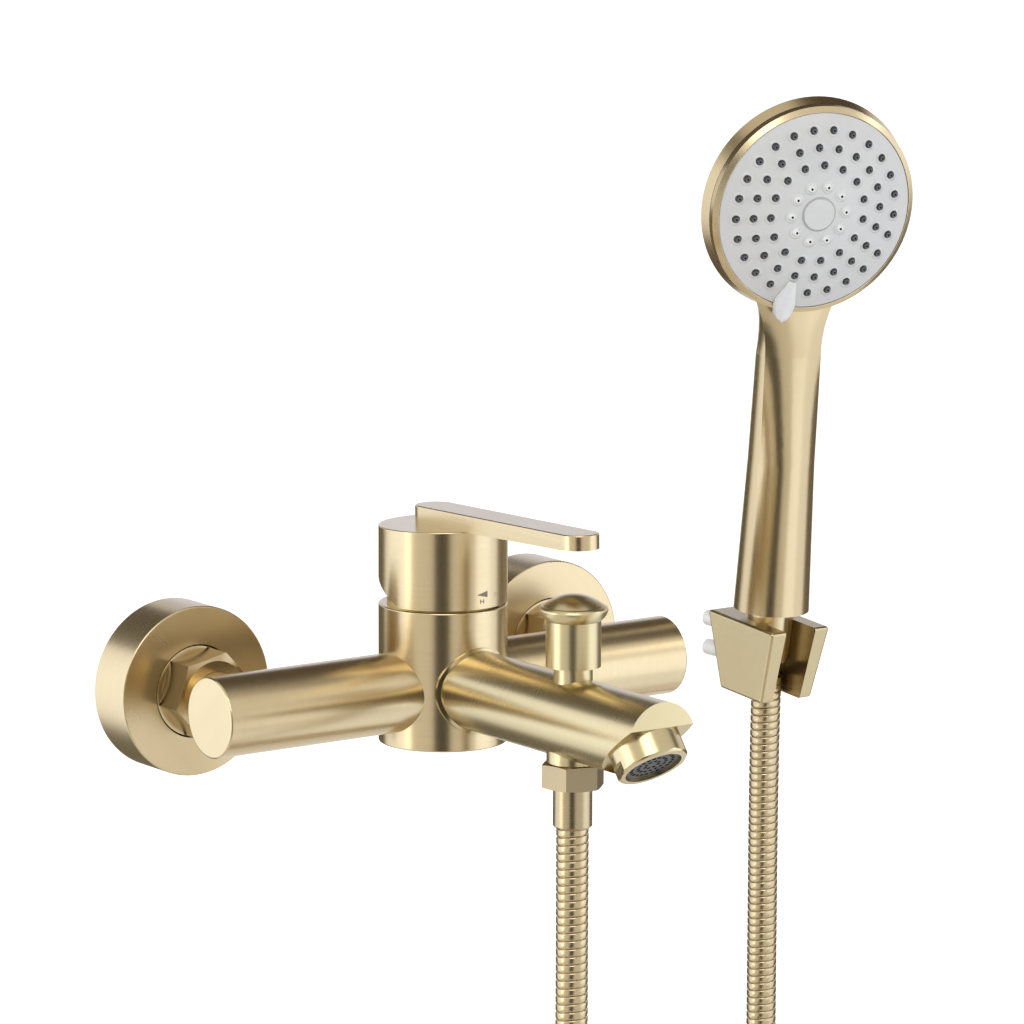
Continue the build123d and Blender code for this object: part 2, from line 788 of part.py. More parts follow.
def helix_point(frame, radius, pitch, turns):
    """A point of a helix about the frame's Z axis, and its direction there."""
    angle = 2 * pi * turns
    point = frame.from_local_coords((radius * cos(angle), radius * sin(angle), pitch * turns))
    run = frame.from_local_coords((-2 * pi * radius * sin(angle), 2 * pi * radius * cos(angle), pitch))
    direction = (Vector(run) - Vector(frame.origin)).normalized()
    return Vector(point), direction



# Return spring of the diverter, round the rod between the plug and the bush
spring_foot = plug_top + spring_wire / 2 + seat_gap
spring_end = bush_foot - spring_wire / 2 - seat_gap
spring_pitch = (spring_end - spring_foot) / spring_turns
spring_frame = diverter_frame.offset(spring_foot)
with BuildPart() as diverter_spring:
    with BuildLine() as spring_line:
        for half in range(2 * spring_turns):
            first, first_run = helix_point(spring_frame, spring_mean_radius, spring_pitch, half / 2)
            last, last_run = helix_point(spring_frame, spring_mean_radius, spring_pitch, (half + 1) / 2)
            tangent_arcs(first, first_run, last, last_run)
    with BuildSketch(Plane(origin=spring_line.line @ 0, z_dir=spring_line.line % 0)) as wire_section:
        Circle(spring_wire / 2)
    sweep(wire_section.sketch, path=spring_line.line)
save(diverter_spring.part, "diverter_spring")
print("spring gap to itself", round(spring_pitch - spring_wire, 2))

# Threaded outlet under the spout
nut_top_rise = boss_foot_rise - nut_drop
nut_foot_rise = nut_top_rise - hose_nut_length
nut_floor_rise = nut_foot_rise + hose_nut_wall
flange_top_rise = nut_floor_rise + thread_clearance + flange_thickness
outlet_foot_rise = flange_top_rise + hose_washer_thickness
with BuildPart() as hose_outlet:
    rod(diverter_frame, outlet_nipple_radius, boss_foot_rise, nipple_top_rise)
    rod(diverter_frame, g38_radius, outlet_foot_rise, boss_foot_rise)
    rod(diverter_frame, outlet_nipple_bore, outlet_foot_rise, nipple_top_rise, mode=Mode.SUBTRACT)
save(hose_outlet.part, "hose_outlet")

# Cartridge: base, housing, two ceramic discs, carrier, pin and stem
with BuildPart() as cartridge_base:
    rod(body_frame, cartridge_radius, cavity_floor, cavity_floor + seal_height)
    with BuildSketch(body_frame.offset(cavity_floor)) as base_ports:
        with Locations((-riser_reach, 0), (riser_reach, 0), (0, -riser_reach)):
            Circle(port_radius)
    extrude(base_ports.sketch, amount=seal_height, mode=Mode.SUBTRACT)
save(cartridge_base.part, "cartridge_base")

housing_foot = cavity_floor + seal_height
housing_ceiling = cartridge_top - cartridge_roof
with BuildPart() as cartridge_housing:
    rod(body_frame, cartridge_radius, housing_foot, cartridge_shoulder)
    rod(body_frame, cartridge_neck_radius, cartridge_shoulder, cartridge_top)
    rod(body_frame, cartridge_inner_radius, housing_foot, housing_ceiling, mode=Mode.SUBTRACT)
    rod(body_frame, cartridge_mouth_radius, housing_ceiling, cartridge_top, mode=Mode.SUBTRACT)
save(cartridge_housing.part, "cartridge_housing")

fixed_disc_top = housing_foot + fixed_disc_height
with BuildPart() as fixed_disc:
    rod(body_frame, disc_radius, housing_foot, fixed_disc_top)
    with BuildSketch(body_frame.offset(housing_foot)) as disc_ports:
        with Locations((-riser_reach, 0), (riser_reach, 0), (0, -riser_reach)):
            Circle(port_radius)
    extrude(disc_ports.sketch, amount=fixed_disc_height, mode=Mode.SUBTRACT)
save(fixed_disc.part, "fixed_disc")

moving_disc_top = fixed_disc_top + moving_disc_height
with BuildPart() as moving_disc:
    rod(body_frame, moving_disc_radius, fixed_disc_top, moving_disc_top)
    with BuildSketch(body_frame.offset(moving_disc_top - disc_pocket_depth)) as toe_pocket:
        Rectangle(stem_toe_width + 2 * slip_clearance, stem_toe_depth + 2 * stem_play)
    extrude(toe_pocket.sketch, amount=disc_pocket_depth, mode=Mode.SUBTRACT)
save(moving_disc.part, "moving_disc")

carrier_top = housing_ceiling - seat_gap
carrier_neck_top = cartridge_top + carrier_neck_rise
lift = radians(lift_angle)
leaning_half_depth = stem_depth / 2 / cos(lift)
slot_front = leaning_half_depth + (pivot_rise - carrier_floor) * tan(lift) + stem_play
slot_back = leaning_half_depth + (carrier_neck_top - pivot_rise) * tan(lift) + stem_play
pin_frame = Plane(
    origin=(-pin_length / 2, -body_reach, axis_z + pivot_rise), x_dir=(0, 1, 0), z_dir=(1, 0, 0)
)
with BuildPart() as stem_carrier:
    rod(body_frame, carrier_radius, carrier_floor, carrier_top)
    rod(body_frame, carrier_neck_radius, carrier_top, carrier_neck_top)
    with BuildSketch(body_frame.offset(carrier_floor)) as stem_slot:
        with Locations((0, (slot_back - slot_front) / 2)):
            Rectangle(stem_width + 2 * slip_clearance, slot_front + slot_back)
    extrude(stem_slot.sketch, amount=carrier_neck_top - carrier_floor, mode=Mode.SUBTRACT)
    pin_hole = pin_radius + thread_clearance
    rod(pin_frame, pin_hole, -overrun, pin_length + overrun, mode=Mode.SUBTRACT)
save(stem_carrier.part, "stem_carrier")

with BuildPart() as stem_pin:
    rod(pin_frame, pin_radius, 0, pin_length)
save(stem_pin.part, "stem_pin")

with BuildPart() as cartridge_stem:
    with BuildSketch(body_frame.offset(stem_toe_top)) as stem_section:
        Rectangle(stem_width, stem_depth)
    extrude(stem_section.sketch, amount=stem_top - stem_toe_top)
    with BuildSketch(body_frame.offset(stem_foot)) as toe_section:
        Rectangle(stem_toe_width, stem_toe_depth)
    extrude(toe_section.sketch, amount=stem_toe_top - stem_foot)
    rod(pin_frame, pin_hole, 0, pin_length, mode=Mode.SUBTRACT)
save(cartridge_stem.part, "cartridge_stem")

# Threaded ring that holds the cartridge down
ring_step_rise = cartridge_shoulder + thread_clearance
with BuildPart() as cartridge_nut:
    rod(body_frame, cartridge_nut_radius, cartridge_nut_foot, cartridge_nut_top)
    ring_bore = cartridge_radius + slip_clearance
    rod(body_frame, ring_bore, cartridge_nut_foot, ring_step_rise, mode=Mode.SUBTRACT)
    ring_mouth = cartridge_neck_radius + slip_clearance
    rod(body_frame, ring_mouth, ring_step_rise, cartridge_nut_top, mode=Mode.SUBTRACT)
save(cartridge_nut.part, "cartridge_nut")

# Handle dome over the cartridge, with its slanted relief at the back
dome_foot = barrel_top + dome_gap
dome_inner_radius = barrel_radius - dome_wall
dome_ceiling = dome_top - dome_roof
tilt = radians(handle_rise)
top_origin = Vector(0, -body_reach, axis_z + dome_top)
top_frame = Plane(origin=top_origin, x_dir=(1, 0, 0), z_dir=(0, sin(tilt), cos(tilt)))
back_frame = Plane(
    origin=(0, -body_reach, axis_z + handle_screw_rise), x_dir=(1, 0, 0), z_dir=(0, 1, 0)
)
screw_start = stem_depth / 2 + thread_clearance
screw_end = screw_start + handle_screw_length
blade_screw_reach = (dome_boss_radius + dome_inner_radius) / 2
blade_screw_frame = upright(0, -body_reach - blade_screw_reach, axis_z)
with BuildPart() as handle_dome:
    rod(body_frame, barrel_radius, dome_foot, dome_top + overrun)
    cut_size = 4 * barrel_radius
    with BuildSketch(top_frame) as dome_cut:
        Rectangle(cut_size, cut_size)
    extrude(dome_cut.sketch, amount=cut_size, mode=Mode.SUBTRACT)
    fillet(handle_dome.edges().group_by(Axis.Z)[-1], radius=dome_edge)
    rod(body_frame, dome_inner_radius, dome_foot, dome_ceiling, mode=Mode.SUBTRACT)
    rod(body_frame, dome_boss_radius, dome_boss_foot, dome_ceiling)
    with BuildSketch(body_frame.offset(dome_boss_foot)) as stem_socket:
        Rectangle(stem_width + 2 * thread_clearance, stem_depth + 2 * thread_clearance)
    extrude(stem_socket.sketch, amount=stem_top + seat_gap - dome_boss_foot, mode=Mode.SUBTRACT)
    relief_rise = (barrel_radius + relief_start) * tan(radians(relief_slope))
    side_plane = Plane(origin=body_frame.origin, x_dir=(0, 1, 0), z_dir=(1, 0, 0))
    with BuildSketch(side_plane) as relief:
        with BuildLine():
            Polyline(
                (-relief_start, dome_foot),
                (barrel_radius + overrun, dome_foot),
                (barrel_radius + overrun, dome_foot + relief_rise * (1 + overrun / barrel_radius)),
                close=True,
            )
        make_face()
    extrude(relief.sketch, amount=2 * barrel_radius, both=True, mode=Mode.SUBTRACT)
    rod(back_frame, handle_screw_radius + thread_clearance, 0, dome_inner_radius, mode=Mode.SUBTRACT)
    rod(back_frame, cover_radius, dome_inner_radius - dome_wall, barrel_radius, mode=Mode.SUBTRACT)
    blade_hole = blade_screw_radius + thread_clearance
    rod(blade_screw_frame, blade_hole, dome_ceiling, dome_top + overrun, mode=Mode.SUBTRACT)
save(handle_dome.part, "handle_dome")

# Lever: a round-ended bar on top of the dome, its underside rising towards the tip
lever_length = lever_back + lever_front
with BuildPart() as lever_blade:
    with BuildSketch(top_frame) as blade_outline:
        with Locations((0, (lever_back - lever_front) / 2)):
            SlotOverall(lever_length, lever_width, rotation=90)
    extrude(blade_outline.sketch, amount=lever_root_thickness)
    fillet(lever_blade.edges().group_by(Axis(top_origin, top_frame.z_dir))[-1], radius=lever_edge)
    blade_side = Plane(origin=top_origin, x_dir=top_frame.y_dir, z_dir=(1, 0, 0))
    underside_rise = lever_root_thickness - lever_tip_thickness
    with BuildSketch(blade_side) as underside:
        with BuildLine():
            Polyline(
                (-barrel_radius, 0),
                (-lever_front, underside_rise),
                (-lever_front - overrun, underside_rise),
                (-lever_front - overrun, -overrun),
                (-barrel_radius, -overrun),
                close=True,
            )
        make_face()
    extrude(underside.sketch, amount=lever_width, both=True, mode=Mode.SUBTRACT)
    blade_hole_end = dome_top + blade_screw_depth + slip_clearance
    rod(blade_screw_frame, blade_hole, dome_ceiling, blade_hole_end, mode=Mode.SUBTRACT)
save(lever_blade.part, "lever_blade")

with BuildPart() as blade_screw:
    head_foot = dome_ceiling - blade_screw_head_height
    rod(blade_screw_frame, blade_screw_head_radius, head_foot, dome_ceiling)
    rod(blade_screw_frame, blade_screw_radius, dome_ceiling, dome_top + blade_screw_depth)
    with BuildSketch(blade_screw_frame.offset(head_foot)) as blade_socket:
        RegularPolygon(blade_screw_radius, 6)
    extrude(blade_socket.sketch, amount=blade_screw_head_height / 2, mode=Mode.SUBTRACT)
save(blade_screw.part, "blade_screw")

with BuildPart() as handle_screw:
    rod(back_frame, handle_screw_radius, screw_start, screw_end)
    with BuildSketch(back_frame.offset(screw_end)) as screw_socket:
        RegularPolygon(handle_screw_radius / 2, 6)
    extrude(screw_socket.sketch, amount=-handle_screw_radius, mode=Mode.SUBTRACT)
save(handle_screw.part, "handle_screw")

with BuildPart() as screw_cover:
    cover_end = barrel_radius - seat_gap
    rod(back_frame, cover_radius - thread_clearance, cover_end - cover_length, cover_end)
save(screw_cover.part, "screw_cover")

# Hose nut, washer and crimped ferrule under the outlet
with BuildPart() as hose_nut:
    hexagon(
        diverter_frame,
        hose_nut_flats,
        nut_foot_rise,
        nut_top_rise,
        hose_nut_chamfer,
        turn=hose_nut_turn,
    )
    thread_bore = g38_radius + thread_clearance
    rod(diverter_frame, thread_bore, nut_floor_rise, nut_top_rise, mode=Mode.SUBTRACT)
    neck_hole = flange_neck_radius + slip_clearance
    rod(diverter_frame, neck_hole, nut_foot_rise, nut_floor_rise, mode=Mode.SUBTRACT)
save(hose_nut.part, "hose_nut")

with BuildPart() as hose_washer:
    tube(diverter_frame, flange_radius, outlet_nipple_bore, flange_top_rise, outlet_foot_rise)
save(hose_washer.part, "hose_washer")

ferrule_top_rise = nut_foot_rise - slip_clearance
ferrule_foot_rise = ferrule_top_rise - ferrule_length
with BuildPart() as hose_ferrule:
    rod(diverter_frame, flange_radius, flange_top_rise - flange_thickness, flange_top_rise)
    rod(diverter_frame, flange_neck_radius, ferrule_top_rise, flange_top_rise - flange_thickness)
    rod(diverter_frame, ferrule_radius, ferrule_foot_rise, ferrule_top_rise)
    chamfer(hose_ferrule.edges().group_by(Axis.Z)[0], length=ferrule_edge)
    rod(diverter_frame, hose_bore_radius, ferrule_foot_rise, flange_top_rise, mode=Mode.SUBTRACT)
save(hose_ferrule.part, "hose_ferrule")

# Frame of the holder: on the axis of its socket, at the rim, leaning into the room
lean = radians(holder_lean)
holder_z = axis_z + holder_rise
holder_frame = Plane(
    origin=(holder_x, -holder_reach, holder_z), x_dir=(1, 0, 0), z_dir=(0, -sin(lean), cos(lean))
)
cone_foot = handle_foot - cone_length
cone_taper = (cone_top_radius - cone_foot_radius) / cone_length


def bore_radius(height):
    """Radius of the socket in the holder at a height along its axis."""
    return cone_top_radius - (handle_foot - height) * cone_taper + cone_gap


# Wall holder: a tapering block with a conical socket and a slot at the front
with BuildPart() as bracket_holder:
    with BuildSketch(holder_frame) as holder_rim:
        with Locations((0, (holder_top_back - holder_top_front) / 2)):
            Rectangle(2 * holder_top_half_width, holder_top_back + holder_top_front)
    with BuildSketch(holder_frame.offset(-holder_height)) as holder_foot_section:
        with Locations((0, (holder_foot_back - holder_foot_front) / 2)):
            Rectangle(2 * holder_foot_half_width, holder_foot_back + holder_foot_front)
    loft(ruled=True)
    fillet(bracket_holder.edges(), radius=holder_edge)
    wedge_depth = holder_reach - bore_radius(0) - holder_edge
    wedge_height = wedge_foot_drop - wedge_top_drop
    with BuildSketch(upright(holder_x, 0, holder_z - wedge_foot_drop)) as wedge:
        with Locations((0, -wedge_depth / 2)):
            Rectangle(2 * wedge_half_width, wedge_depth)
    extrude(wedge.sketch, amount=wedge_height)
    socket_foot = -holder_height - overrun
    socket_outline = [
        (0, socket_foot),
        (bore_radius(socket_foot), socket_foot),
        (bore_radius(overrun), overrun),
        (0, overrun),
    ]
    turned(holder_frame, socket_outline, mode=Mode.SUBTRACT)
    slot_reach = holder_top_front + overrun
    with BuildSketch(holder_frame.offset(overrun)) as slot_rim:
        with Locations((0, -slot_reach / 2)):
            Rectangle(2 * slot_top_half_width, slot_reach)
    with BuildSketch(holder_frame.offset(socket_foot)) as slot_foot_section:
        with Locations((0, -slot_reach / 2)):
            Rectangle(2 * slot_foot_half_width, slot_reach)
    loft(sections=[slot_rim.sketch, slot_foot_section.sketch], ruled=True, mode=Mode.SUBTRACT)
    bore_back = bracket_screw_middle_drop * sin(lean) + bore_radius(-bracket_screw_middle_drop)
    screw_heads_start = holder_reach - bore_back - screw_recess
    for place in (-1, 1):
        screw_z = holder_z - bracket_screw_middle_drop + place * bracket_screw_spacing / 2
        screw_frame = outward(holder_x, 0, screw_z)
        screw_hole = bracket_screw_radius + slip_clearance
        rod(screw_frame, screw_hole, 0, holder_reach, mode=Mode.SUBTRACT)
        head_hole = bracket_screw_head_radius + slip_clearance
        rod(screw_frame, head_hole, screw_heads_start, holder_reach, mode=Mode.SUBTRACT)
        plug_hole = plug_wall_radius + slip_clearance
        rod(screw_frame, plug_hole, 0, plug_recess_depth, mode=Mode.SUBTRACT)
save(bracket_holder.part, "bracket_holder")

with BuildPart() as bracket_screws:
    for place in (-1, 1):
        screw_z = holder_z - bracket_screw_middle_drop + place * bracket_screw_spacing / 2
        screw_frame = outward(holder_x, 0, screw_z)
        head_end = screw_heads_start + bracket_screw_head_height
        rod(screw_frame, bracket_screw_head_radius, screw_heads_start, head_end)
        rod(screw_frame, bracket_screw_radius, screw_heads_start - bracket_screw_length, screw_heads_start)
        with BuildSketch(screw_frame.offset(head_end)) as cross_slot:
            Rectangle(bracket_screw_radius * 2, bracket_screw_radius / 2)
            Rectangle(bracket_screw_radius / 2, bracket_screw_radius * 2)
        extrude(cross_slot.sketch, amount=-bracket_screw_head_height / 2, mode=Mode.SUBTRACT)
save(bracket_screws.part, "bracket_screws")

with BuildPart() as wall_plugs:
    for place in (-1, 1):
        screw_z = holder_z - bracket_screw_middle_drop + place * bracket_screw_spacing / 2
        plug_frame = outward(holder_x, 0, screw_z)
        plug_bore = bracket_screw_radius + thread_clearance
        tube(plug_frame, plug_wall_radius, plug_bore, -plug_wall_length, 0)
save(wall_plugs.part, "wall_plugs")

# Conical nut of the hose, which the holder carries, with insert and washer
cone_shoulder = handle_foot + nut_head_lift + hose_nut_wall
cone_nut_top = handle_foot + nut_head_lift + nut_head_height
cone_flange_foot = cone_shoulder + thread_clearance
cone_flange_top = cone_flange_foot + flange_thickness
stub_foot = cone_flange_top + hose_washer_thickness
with BuildPart() as cone_nut:
    head_lift = handle_foot + nut_head_lift
    cone_outline = [
        (0, cone_foot),
        (cone_foot_radius, cone_foot),
        (cone_top_radius, handle_foot),
        (cone_top_radius, head_lift),
        (nut_head_radius, head_lift),
        (nut_head_radius, cone_nut_top),
        (0, cone_nut_top),
    ]
    turned(holder_frame, cone_outline)
    rod(holder_frame, g38_radius + thread_clearance, cone_shoulder, cone_nut_top, mode=Mode.SUBTRACT)
    rod(holder_frame, flange_neck_radius + slip_clearance, cone_foot, cone_shoulder, mode=Mode.SUBTRACT)
save(cone_nut.part, "cone_nut")

with BuildPart() as cone_insert:
    rod(holder_frame, flange_radius, cone_flange_foot, cone_flange_top)
    rod(holder_frame, flange_neck_radius, cone_foot, cone_flange_foot)
    rod(holder_frame, hose_bore_radius, cone_foot, cone_flange_top, mode=Mode.SUBTRACT)
save(cone_insert.part, "cone_insert")

with BuildPart() as handset_washer:
    tube(holder_frame, flange_radius, inlet_stub_bore, cone_flange_top, stub_foot)
save(handset_washer.part, "handset_washer")

# Ribbed hose: from the ferrule straight down, and from the holder's cone down the wall
ferrule_point = Vector(diverter_frame.origin) + Vector(0, 0, ferrule_foot_rise)
drop_length = drop_ribs * rib_pitch
rise_route = [(172, -21.76, -9.04), (172, -20.02, -28.96), (172, -20.02, -142.5)]


def ribbed_tube(path, ribs):
    """Lofts a hose with its ribs along a path, four circles for each rib."""
    shares = [0, rib_rise_share, rib_crest_share, rib_fall_share]
    valley = hose_radius - rib_depth
    radii = [valley, hose_radius, hose_radius, valley]
    steps = [(rib + share) / ribs for rib in range(ribs) for share in shares] + [1]
    circles = []
    for step, radius in zip(steps, radii * ribs + [valley]):
        station = Plane(origin=path @ step, x_dir=(1, 0, 0), z_dir=path % step)
        with BuildSketch(station) as ring:
            Circle(radius)
        circles.append(ring.sketch)
    loft(sections=circles, ruled=True)
    with BuildSketch(Plane(origin=path @ 0, x_dir=(1, 0, 0), z_dir=path % 0)) as bore:
        Circle(hose_bore_radius)
    sweep(bore.sketch, path=path, mode=Mode.SUBTRACT)


with BuildLine() as drop_line:
    Line(ferrule_point, ferrule_point - Vector(0, 0, drop_length))
drop_path = drop_line.wire()
with BuildPart() as hose_drop:
    ribbed_tube(drop_path, drop_ribs)
save(hose_drop.part, "hose_drop")

rise_points = [Vector(*point) for point in rise_route]
rise_runs = [rise_points[1] - rise_points[0], rise_points[2] - rise_points[1]]
rise_turn = radians(rise_runs[0].get_angle(rise_runs[1]))
rise_bend = 0.45 * min(run.length for run in rise_runs) / tan(rise_turn / 2)
print("radius of the bend below the holder", round(rise_bend, 1))
with BuildLine() as rise_line:
    FilletPolyline(*rise_points, radius=rise_bend)
rise_path = rise_line.wire()
rise_ribs = round(rise_path.length / rib_pitch)
with BuildPart() as hose_rise:
    ribbed_tube(rise_path, rise_ribs)
save(hose_rise.part, "hose_rise")

# Length of the hose that hangs below: an upright coil between the two strands
drop_end = drop_path @ 1
rise_end = rise_path @ 1
across = Vector(rise_end.X - drop_end.X, rise_end.Y - drop_end.Y, 0)
coil_normal = across.cross(Vector(0, 0, 1)).normalized()
coil_middle = (drop_end + rise_end) * 0.5
coil_turns = coil_half_turns / 2
coil_centre = Vector(coil_middle.X, coil_middle.Y, -coil_centre_drop)
coil_frame = Plane(
    origin=coil_centre - coil_normal * (coil_pitch * coil_turns / 2),
    x_dir=-across.normalized(),
    z_dir=coil_normal,
)
straight_end = Vector(0, 0, 2 * hose_radius)
with BuildLine() as coil_line:
    Line(drop_end, drop_end - straight_end)
    first, first_run = helix_point(coil_frame, coil_radius, coil_pitch, 0)
    tangent_arcs(drop_end - straight_end, Vector(0, 0, -1), first, first_run)
    for half in range(coil_half_turns):
        first, first_run = helix_point(coil_frame, coil_radius, coil_pitch, half / 2)
        last, last_run = helix_point(coil_frame, coil_radius, coil_pitch, (half + 1) / 2)
        tangent_arcs(first, first_run, last, last_run)
    tangent_arcs(last, last_run, rise_end - straight_end, Vector(0, 0, 1))
    Line(rise_end - straight_end, rise_end)
coil_path = coil_line.wire()
with BuildPart() as hose_coil:
    with BuildSketch(Plane(origin=drop_end, x_dir=(1, 0, 0), z_dir=(0, 0, -1))) as hose_section:
        Circle(hose_radius)
        Circle(hose_bore_radius, mode=Mode.SUBTRACT)
    sweep(hose_section.sketch, path=coil_path)
save(hose_coil.part, "hose_coil")

coil_length = coil_path.length
hose_area = pi * (hose_radius**2 - hose_bore_radius**2)
print("coil volume over section times length", round(hose_coil.part.volume / hose_area / coil_length, 4))
print("length of the hose", round(drop_length + rise_path.length + coil_length, 1))
sample_count = round(coil_length / rib_pitch)
samples = [tuple(coil_path @ (i / sample_count)) for i in range(sample_count + 1)]
apart = round(4 * hose_radius / rib_pitch)
least = min(
    sum((a - b) ** 2 for a, b in zip(samples[i], samples[j])) ** 0.5
    for i in range(len(samples))
    for j in range(i + apart, len(samples))
)
print("least gap of the coil to itself", round(least - 2 * hose_radius, 2))

# Strap that ties the turns of the coil together at the bottom
tie_centre = coil_centre + Vector(0, 0, -coil_radius)
tie_frame = Plane(origin=tie_centre, x_dir=coil_normal, z_dir=across.normalized())
tie_half_height = hose_radius + tie_gap
tie_half_width = coil_pitch + tie_half_height
with BuildPart() as hose_tie:
    with BuildSketch(tie_frame.offset(-tie_width / 2)) as tie_section:
        outer_height = 2 * (tie_half_height + tie_wall)
        RectangleRounded(2 * (tie_half_width + tie_wall), outer_height, outer_height / 2 - tie_wall)
        inner_height = 2 * tie_half_height
        RectangleRounded(
            2 * tie_half_width, inner_height, inner_height / 2 - tie_wall, mode=Mode.SUBTRACT
        )
    extrude(tie_section.sketch, amount=tie_width)
save(hose_tie.part, "hose_tie")

# Hand shower: frames of the handle and of its face, turned a little in the holder
handset_frame = spun(holder_frame, -handset_turn)
forward = -handset_frame.y_dir
up_handle = handset_frame.z_dir
face_lean = radians(face_tilt)
face_normal = forward * cos(face_lean) - up_handle * sin(face_lean)
face_origin = Vector(handset_frame.origin) + up_handle * face_rise + forward * face_offset
face_frame = Plane(origin=face_origin, x_dir=handset_frame.x_dir, z_dir=face_normal)
skirt_roof = handle_foot + skirt_depth
handle_high = face_rise - handle_high_drop
plate_radius = head_front_radius - trim_width
crown_ball = (plate_radius**2 + plate_crown**2) / (2 * plate_crown)
cavity_radius = head_front_radius - head_wall
shell_rim = -trim_depth
distributor_front = -trim_sleeve_end
distributor_back = distributor_front - distributor_thickness


def panel_section(frame, half_width, crease, front, back):
    """Section of the handle: a round back that meets a flatter front at two creases."""
    with BuildSketch(frame) as section:
        with BuildLine():
            ThreePointArc((-half_width, -crease), (0, back), (half_width, -crease))
            ThreePointArc((half_width, -crease), (0, -front), (-half_width, -crease))
        make_face()
    return section.sketch


with BuildPart() as handset_shell:
    handle_outline = [
        (0, handle_foot),
        (handle_foot_radius, handle_foot),
        (handle_middle_radius, handle_middle),
        (0, handle_middle),
    ]
    turned(handset_frame, handle_outline)
    crease_width = handle_middle_radius * sin(radians(crease_angle))
    crease_reach = handle_middle_radius * cos(radians(crease_angle))
    middle_form = (crease_width, crease_reach, handle_middle_radius, handle_middle_radius)
    panel_sections = [panel_section(handset_frame.offset(handle_middle), *middle_form)]
    for drop, *form in zip(panel_drops, panel_half_widths, panel_creases, panel_fronts, panel_backs):
        panel_sections.append(panel_section(handset_frame.offset(face_rise - drop), *form))
    loft(sections=panel_sections[:2], ruled=True)
    loft(sections=panel_sections[1:])
    head_plane = Plane(origin=face_origin, x_dir=face_frame.x_dir, z_dir=-face_frame.y_dir)
    with BuildSketch(head_plane) as head_profile:
        with BuildLine():
            band_end = (head_radius, -head_band)
            Polyline((0, -head_depth), (0, shell_rim), (head_front_radius, shell_rim), band_end)
            rim_middle = (
                (head_radius + head_back_radius) / 2 + head_wall,
                -(head_band + head_back_depth + head_wall) / 2,
            )
            ThreePointArc(band_end, rim_middle, (head_back_radius, -head_back_depth))
            back_middle = dome_middle(head_back_radius, -head_back_depth, -head_depth)
            ThreePointArc((head_back_radius, -head_back_depth), back_middle, (0, -head_depth))
        make_face()
    revolve(head_profile.sketch, axis=Axis(face_origin, face_normal))
    ledge_radius = cavity_radius - trim_sleeve_wall
    rod(face_frame, cavity_radius, distributor_back, 0, mode=Mode.SUBTRACT)
    rod(face_frame, ledge_radius, -cavity_depth, distributor_back, mode=Mode.SUBTRACT)
    rod(handset_frame, skirt_radius, handle_foot, skirt_roof, mode=Mode.SUBTRACT)
    rod(handset_frame, g38_radius, stub_foot, skirt_roof)
    rod(handset_frame, inlet_stub_bore, stub_foot, skirt_roof, mode=Mode.SUBTRACT)
    rod(handset_frame, waterway_radius, skirt_roof, handle_high, mode=Mode.SUBTRACT)
    way_start = Vector(handset_frame.origin) + up_handle * (handle_high - waterway_radius)
    way_rise = handle_high_drop - neck_way_drop + waterway_radius
    way_run = up_handle * way_rise + forward * neck_way_offset
    way_frame = Plane(origin=way_start, x_dir=handset_frame.x_dir, z_dir=way_run.normalized())
    rod(way_frame, neck_way_radius, 0, way_run.length, mode=Mode.SUBTRACT)
save(handset_shell.part, "handset_shell")

# Bright ring round the face, screwed into the head
trim_inner_radius = plate_radius + plate_gap
ledge_rise = -plate_thickness - seat_gap
with BuildPart() as trim_ring:
    tube(face_frame, head_front_radius, ledge_radius, shell_rim + trim_seam, ledge_rise)
    trim_outline = [
        (trim_inner_radius, ledge_rise),
        (head_front_radius, ledge_rise),
        (head_front_radius, -trim_fall),
        (trim_inner_radius, trim_proud),
    ]
    turned(face_frame, trim_outline)
    fillet(trim_ring.edges().sort_by(Axis(face_origin, face_normal))[-2:], radius=trim_proud / 2)
    sleeve_radius = cavity_radius - thread_clearance
    tube(face_frame, sleeve_radius, ledge_radius, distributor_front, shell_rim + trim_seam)
save(trim_ring.part, "trim_ring")

# Distributor behind the spray plate, carried by the ring and by its boss
boss_foot = -cavity_depth
with BuildPart() as distributor:
    rod(face_frame, cavity_radius - thread_clearance, distributor_back, distributor_front)
    rod(face_frame, distributor_boss_radius, boss_foot, distributor_back)
    with BuildSketch(face_frame.offset(distributor_back)) as distributor_holes:
        with PolarLocations(distributor_hole_circle, distributor_hole_count):
            Circle(distributor_hole_radius)
    extrude(distributor_holes.sketch, amount=distributor_thickness, mode=Mode.SUBTRACT)
    screw_hole = centre_screw_radius + thread_clearance
    rod(face_frame, screw_hole, boss_foot, distributor_front, mode=Mode.SUBTRACT)
save(distributor.part, "distributor")


def ring_of_nozzles(radius, count, hidden=None):
    """Places of one ring of nozzles, clockwise from the first."""
    angles = [radians(first_nozzle_angle - 360 * i / count) for i in range(count) if i != hidden]
    return [(radius * cos(angle), radius * sin(angle)) for angle in angles]


def plate_height(reach):
    """Height of the round front of the spray plate at a distance from its centre."""
    return plate_crown - crown_ball + sqrt(crown_ball**2 - reach**2)


black_places = []
for ring, (radius, count) in enumerate(zip(nozzle_ring_radii, nozzle_ring_counts)):
    hidden = hidden_nozzle if ring == len(nozzle_ring_radii) - 1 else None
    black_places += ring_of_nozzles(radius, count, hidden)
white_places = ring_of_nozzles(white_ring_radius, white_nozzle_count)
tab_angle = first_nozzle_angle - 360 * hidden_nozzle / nozzle_ring_counts[-1]

